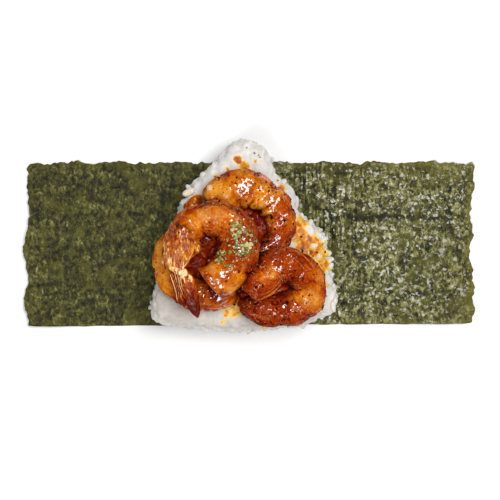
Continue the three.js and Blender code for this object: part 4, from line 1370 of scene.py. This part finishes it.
def sauce_and_shade_piece():
    turn = turns(POOL_SIDES)
    share = np.linspace(0.04, 1, POOL_RINGS)[:, None]
    parts, tones = [], []
    for number, (x, y, half_x, half_y, height, tone) in enumerate(POOLS):
        x, y = x + half_x * share * np.cos(turn), y + half_y * share * np.sin(turn)
        flat = space(x, y, height)
        top = height - 1.5 * share**4 + 0.5 * lumps(flat, 3.0, 71 + number) + 0.3 * lumps(flat, 1.5, 72)
        points, faces = closed_tube(np.concatenate([space(x, y, top), space(x, y, RICE_TOP + 0.2)[::-1]]))
        parts.append((points, flipped(faces)))
        tones.append(np.full(len(points), tone))
    piece = mesh_piece("sauce_and_shade_pools", *joined(parts), sauce_and_shade_look(), dict(tone=np.concatenate(tones)))


# Ground pepper and chilli: how many bits on each shrimp and on the stained rice, and their sizes.
PEPPER = dict(over=75, under=75, apex=130, corner=130)
STAINED_BITS, STAINED_FROM = 14, (17, -12)
PEPPER_SIZES, PEPPER_SHARES = (0.3, 0.45, 0.62, 0.85), (0.38, 0.32, 0.2, 0.1)


def clear_of_others(name, spot):
    return all(CURLS[other].inside(spot[None], 0.3)[0][0] > 1 for other in CURLS if other != name)


def pepper_piece(skins, rice):
    rng = np.random.default_rng(5)
    parts, tints = [], []

    def bit():
        return crumb(rng, rng.choice(PEPPER_SIZES, p=PEPPER_SHARES))

    for name, count in PEPPER.items():
        skin = skins[name]
        upper = np.flatnonzero(skin.normals[:, 2] > rng.uniform(-0.6, 0.5, len(skin.normals)))
        for i in rng.choice(upper, count, replace=False):
            spot, normal = skin.points[i], skin.normals[i]
            shape, faces = bit()
            tint = rng.uniform(0, 1)
            if clear_of_others(name, spot):
                parts.append((laid(shape, spot + normal * 0.2, normal, rng), faces))
                tints.append(tint)
    near = np.all(rice.points > (*STAINED_FROM, RICE_TOP - 3), 1)
    near = np.flatnonzero(near & (stain_at(rice.points) > 0.3))
    for i in rng.choice(near, STAINED_BITS, replace=False):
        shape, faces = bit()
        parts.append((laid(shape, rice.points[i] + rice.normals[i] * 0.1, rice.normals[i], rng), faces))
        tints.append(rng.uniform(0.6, 1))
    material = crumb_look("pepper", 0.6, (0.0, (0.004, 0.003, 0.002)), (0.7, (0.008, 0.004, 0.002)),
                          (0.78, (0.1, 0.008, 0.001)), (1.0, (0.24, 0.025, 0.002)))
    scattered("pepper", parts, tints, material)


# Where parsley fell: x, y, radius and number of flakes.
PARSLEY_FALLS = ((-3.2, 1, 4.8, 90), (-6, 4.8, 3, 36), (-11.6, -4.8, 2.2, 44), (-4.8, 8, 2.2, 18),
                 (-1.4, -2.2, 2.6, 40), (-6, -3, 5, 44), (-9.5, -9.5, 2, 8))
# The larger flakes: x, y, radius and tint. Then the flakes on the rice, of one size.
BIG_FLAKES = ((-0.6, -1.4, 2, 0.85), (0.6, 0.4, 1.2, 0.9), (-3, -0.2, 1.2, 0.7), (-4.4, 5.9, 1.1, 0.3),
              (-6.9, 6.2, 1, 0.9), (-8.4, -3.6, 1, 0.15))
RICE_FLAKES = ((-0.75, 39.9), (2.5, 37.7), (4.8, 36.1), (4.1, 36.9))
FLAKE_SIZES, FLAKE_SHARES = (0.25, 0.42, 0.65, 1), (0.4, 0.3, 0.2, 0.1)


def parsley_piece(skin, rice):
    rng = np.random.default_rng(9)
    parts, tints = [], []

    def add(x, y, radius, tint, skin=skin):
        found = skin.under(x, y)
        if found is None:
            return
        spot, normal = found
        shape, faces = flake(rng, radius, rng.uniform(0.45, 0.95))
        tilt = unit(normal + 0.3 * rng.normal(size=3))
        parts.append((laid(shape, spot + normal * rng.uniform(0.05, 0.35), tilt, rng), faces))
        tints.append(tint)

    for x, y, spread, count in PARSLEY_FALLS:
        for _ in range(count):
            dx, dy = rng.normal(0, spread * 0.62, 2)
            add(x + dx, y + dy, rng.choice(FLAKE_SIZES, p=FLAKE_SHARES), rng.uniform(0, 1))
    for flake_facts in BIG_FLAKES:
        add(*flake_facts)
    for x, y in RICE_FLAKES:
        add(x, y, 0.5, 0.2, rice)
    material = crumb_look("parsley", 0.7, (0.0, (0.07, 0.1, 0.018)), (0.3, (0.2, 0.22, 0.045)),
                          (0.6, (0.36, 0.35, 0.1)), (1.0, (0.7, 0.63, 0.3)))
    scattered("parsley", parts, tints, material)


# ---------------------------------------------------------------- stage

# How strong the studio's walls and ceiling shine, and the upward parts of a direction where the wall ends
# and the ceiling starts.
WALL_LIGHT, CEILING_LIGHT = 0.14, 0.02
WALL_TOP, CEILING_START = 0.05, 0.5
FLOOR_SIZE = 6
FOOD_MIDDLE = Vector((0, 0, 0.02))
CAMERA = dict(x=0.2, y=-2.35, height=700, view_width=213.5, sensor=36)


def stage():
    bpy.ops.mesh.primitive_plane_add(size=FLOOR_SIZE, location=(0, 0, 0))
    floor = bpy.context.object
    floor.name = "floor"
    look = Look("floor")
    look.set(Base_Color=(0.98, 0.98, 0.98), Roughness=0.9, Specular_IOR_Level=0.0)
    floor.data.materials.append(look.material)


def softbox(name, place, size, power):
    """A square light facing the middle of the food, with its place and size in metres."""
    data = bpy.data.lights.new(name, "AREA")
    data.shape = "SQUARE"
    data.size = size
    data.energy = power
    light = linked(name, data)
    light.location = place
    light.rotation_euler = (Vector(place) - FOOD_MIDDLE).to_track_quat("Z", "Y").to_euler()


def studio_world():
    """Walls that are pale near the floor and dark overhead, so that wet surfaces keep their depth."""
    world = bpy.data.worlds.new("studio")
    world.use_nodes = True
    tree = world.node_tree
    kinds = ("TexCoord", "SeparateXYZ", "MapRange")
    place, split, light = (tree.nodes.new("ShaderNode" + kind) for kind in kinds)
    background = tree.nodes["Background"].inputs
    tree.links.new(place.outputs["Generated"], split.inputs[0])
    tree.links.new(split.outputs["Z"], light.inputs["Value"])
    tree.links.new(light.outputs[0], background["Strength"])
    light.inputs["From Min"].default_value = WALL_TOP
    light.inputs["From Max"].default_value = CEILING_START
    light.inputs["To Min"].default_value = WALL_LIGHT
    light.inputs["To Max"].default_value = CEILING_LIGHT
    background["Color"].default_value = (1, 1, 1, 1)
    bpy.context.scene.world = world


def camera():
    """Straight above the food, with the apex at the top of the picture."""
    data = bpy.data.cameras.new("camera")
    data.sensor_width = CAMERA["sensor"]
    data.lens = CAMERA["sensor"] * CAMERA["height"] / CAMERA["view_width"]
    view = linked("camera", data)
    view.location = (CAMERA["x"] * MM, CAMERA["y"] * MM, CAMERA["height"] * MM)
    bpy.context.scene.camera = view
    bpy.context.scene.view_settings.view_transform = "Standard"


# ---------------------------------------------------------------- the scene

camera()
stage()
softbox("overhead", place=(0.28, 0.18, 0.98), size=0.66, power=9.6)
softbox("fill", place=(-0.26, -0.46, 1.05), size=0.58, power=5.2)
studio_world()
nori_piece()
rice = Skin(rice_pieces())
glazed = shrimp_look()

# From the top down, as each shrimp is pressed in by those above it.
skins = {}
for number, name in enumerate(("over", "apex", "corner", "under")):
    skins[name] = Skin(shrimp_piece(name, 100 * (number + 1), tuple(skins), glazed))

flaps_piece(dict(skins, shell=Skin(tail_shell_piece())), glazed)
tail_fin_piece()
sauce_and_shade_piece()
pepper_piece(skins, rice)
parsley_piece(skins["over"], rice)
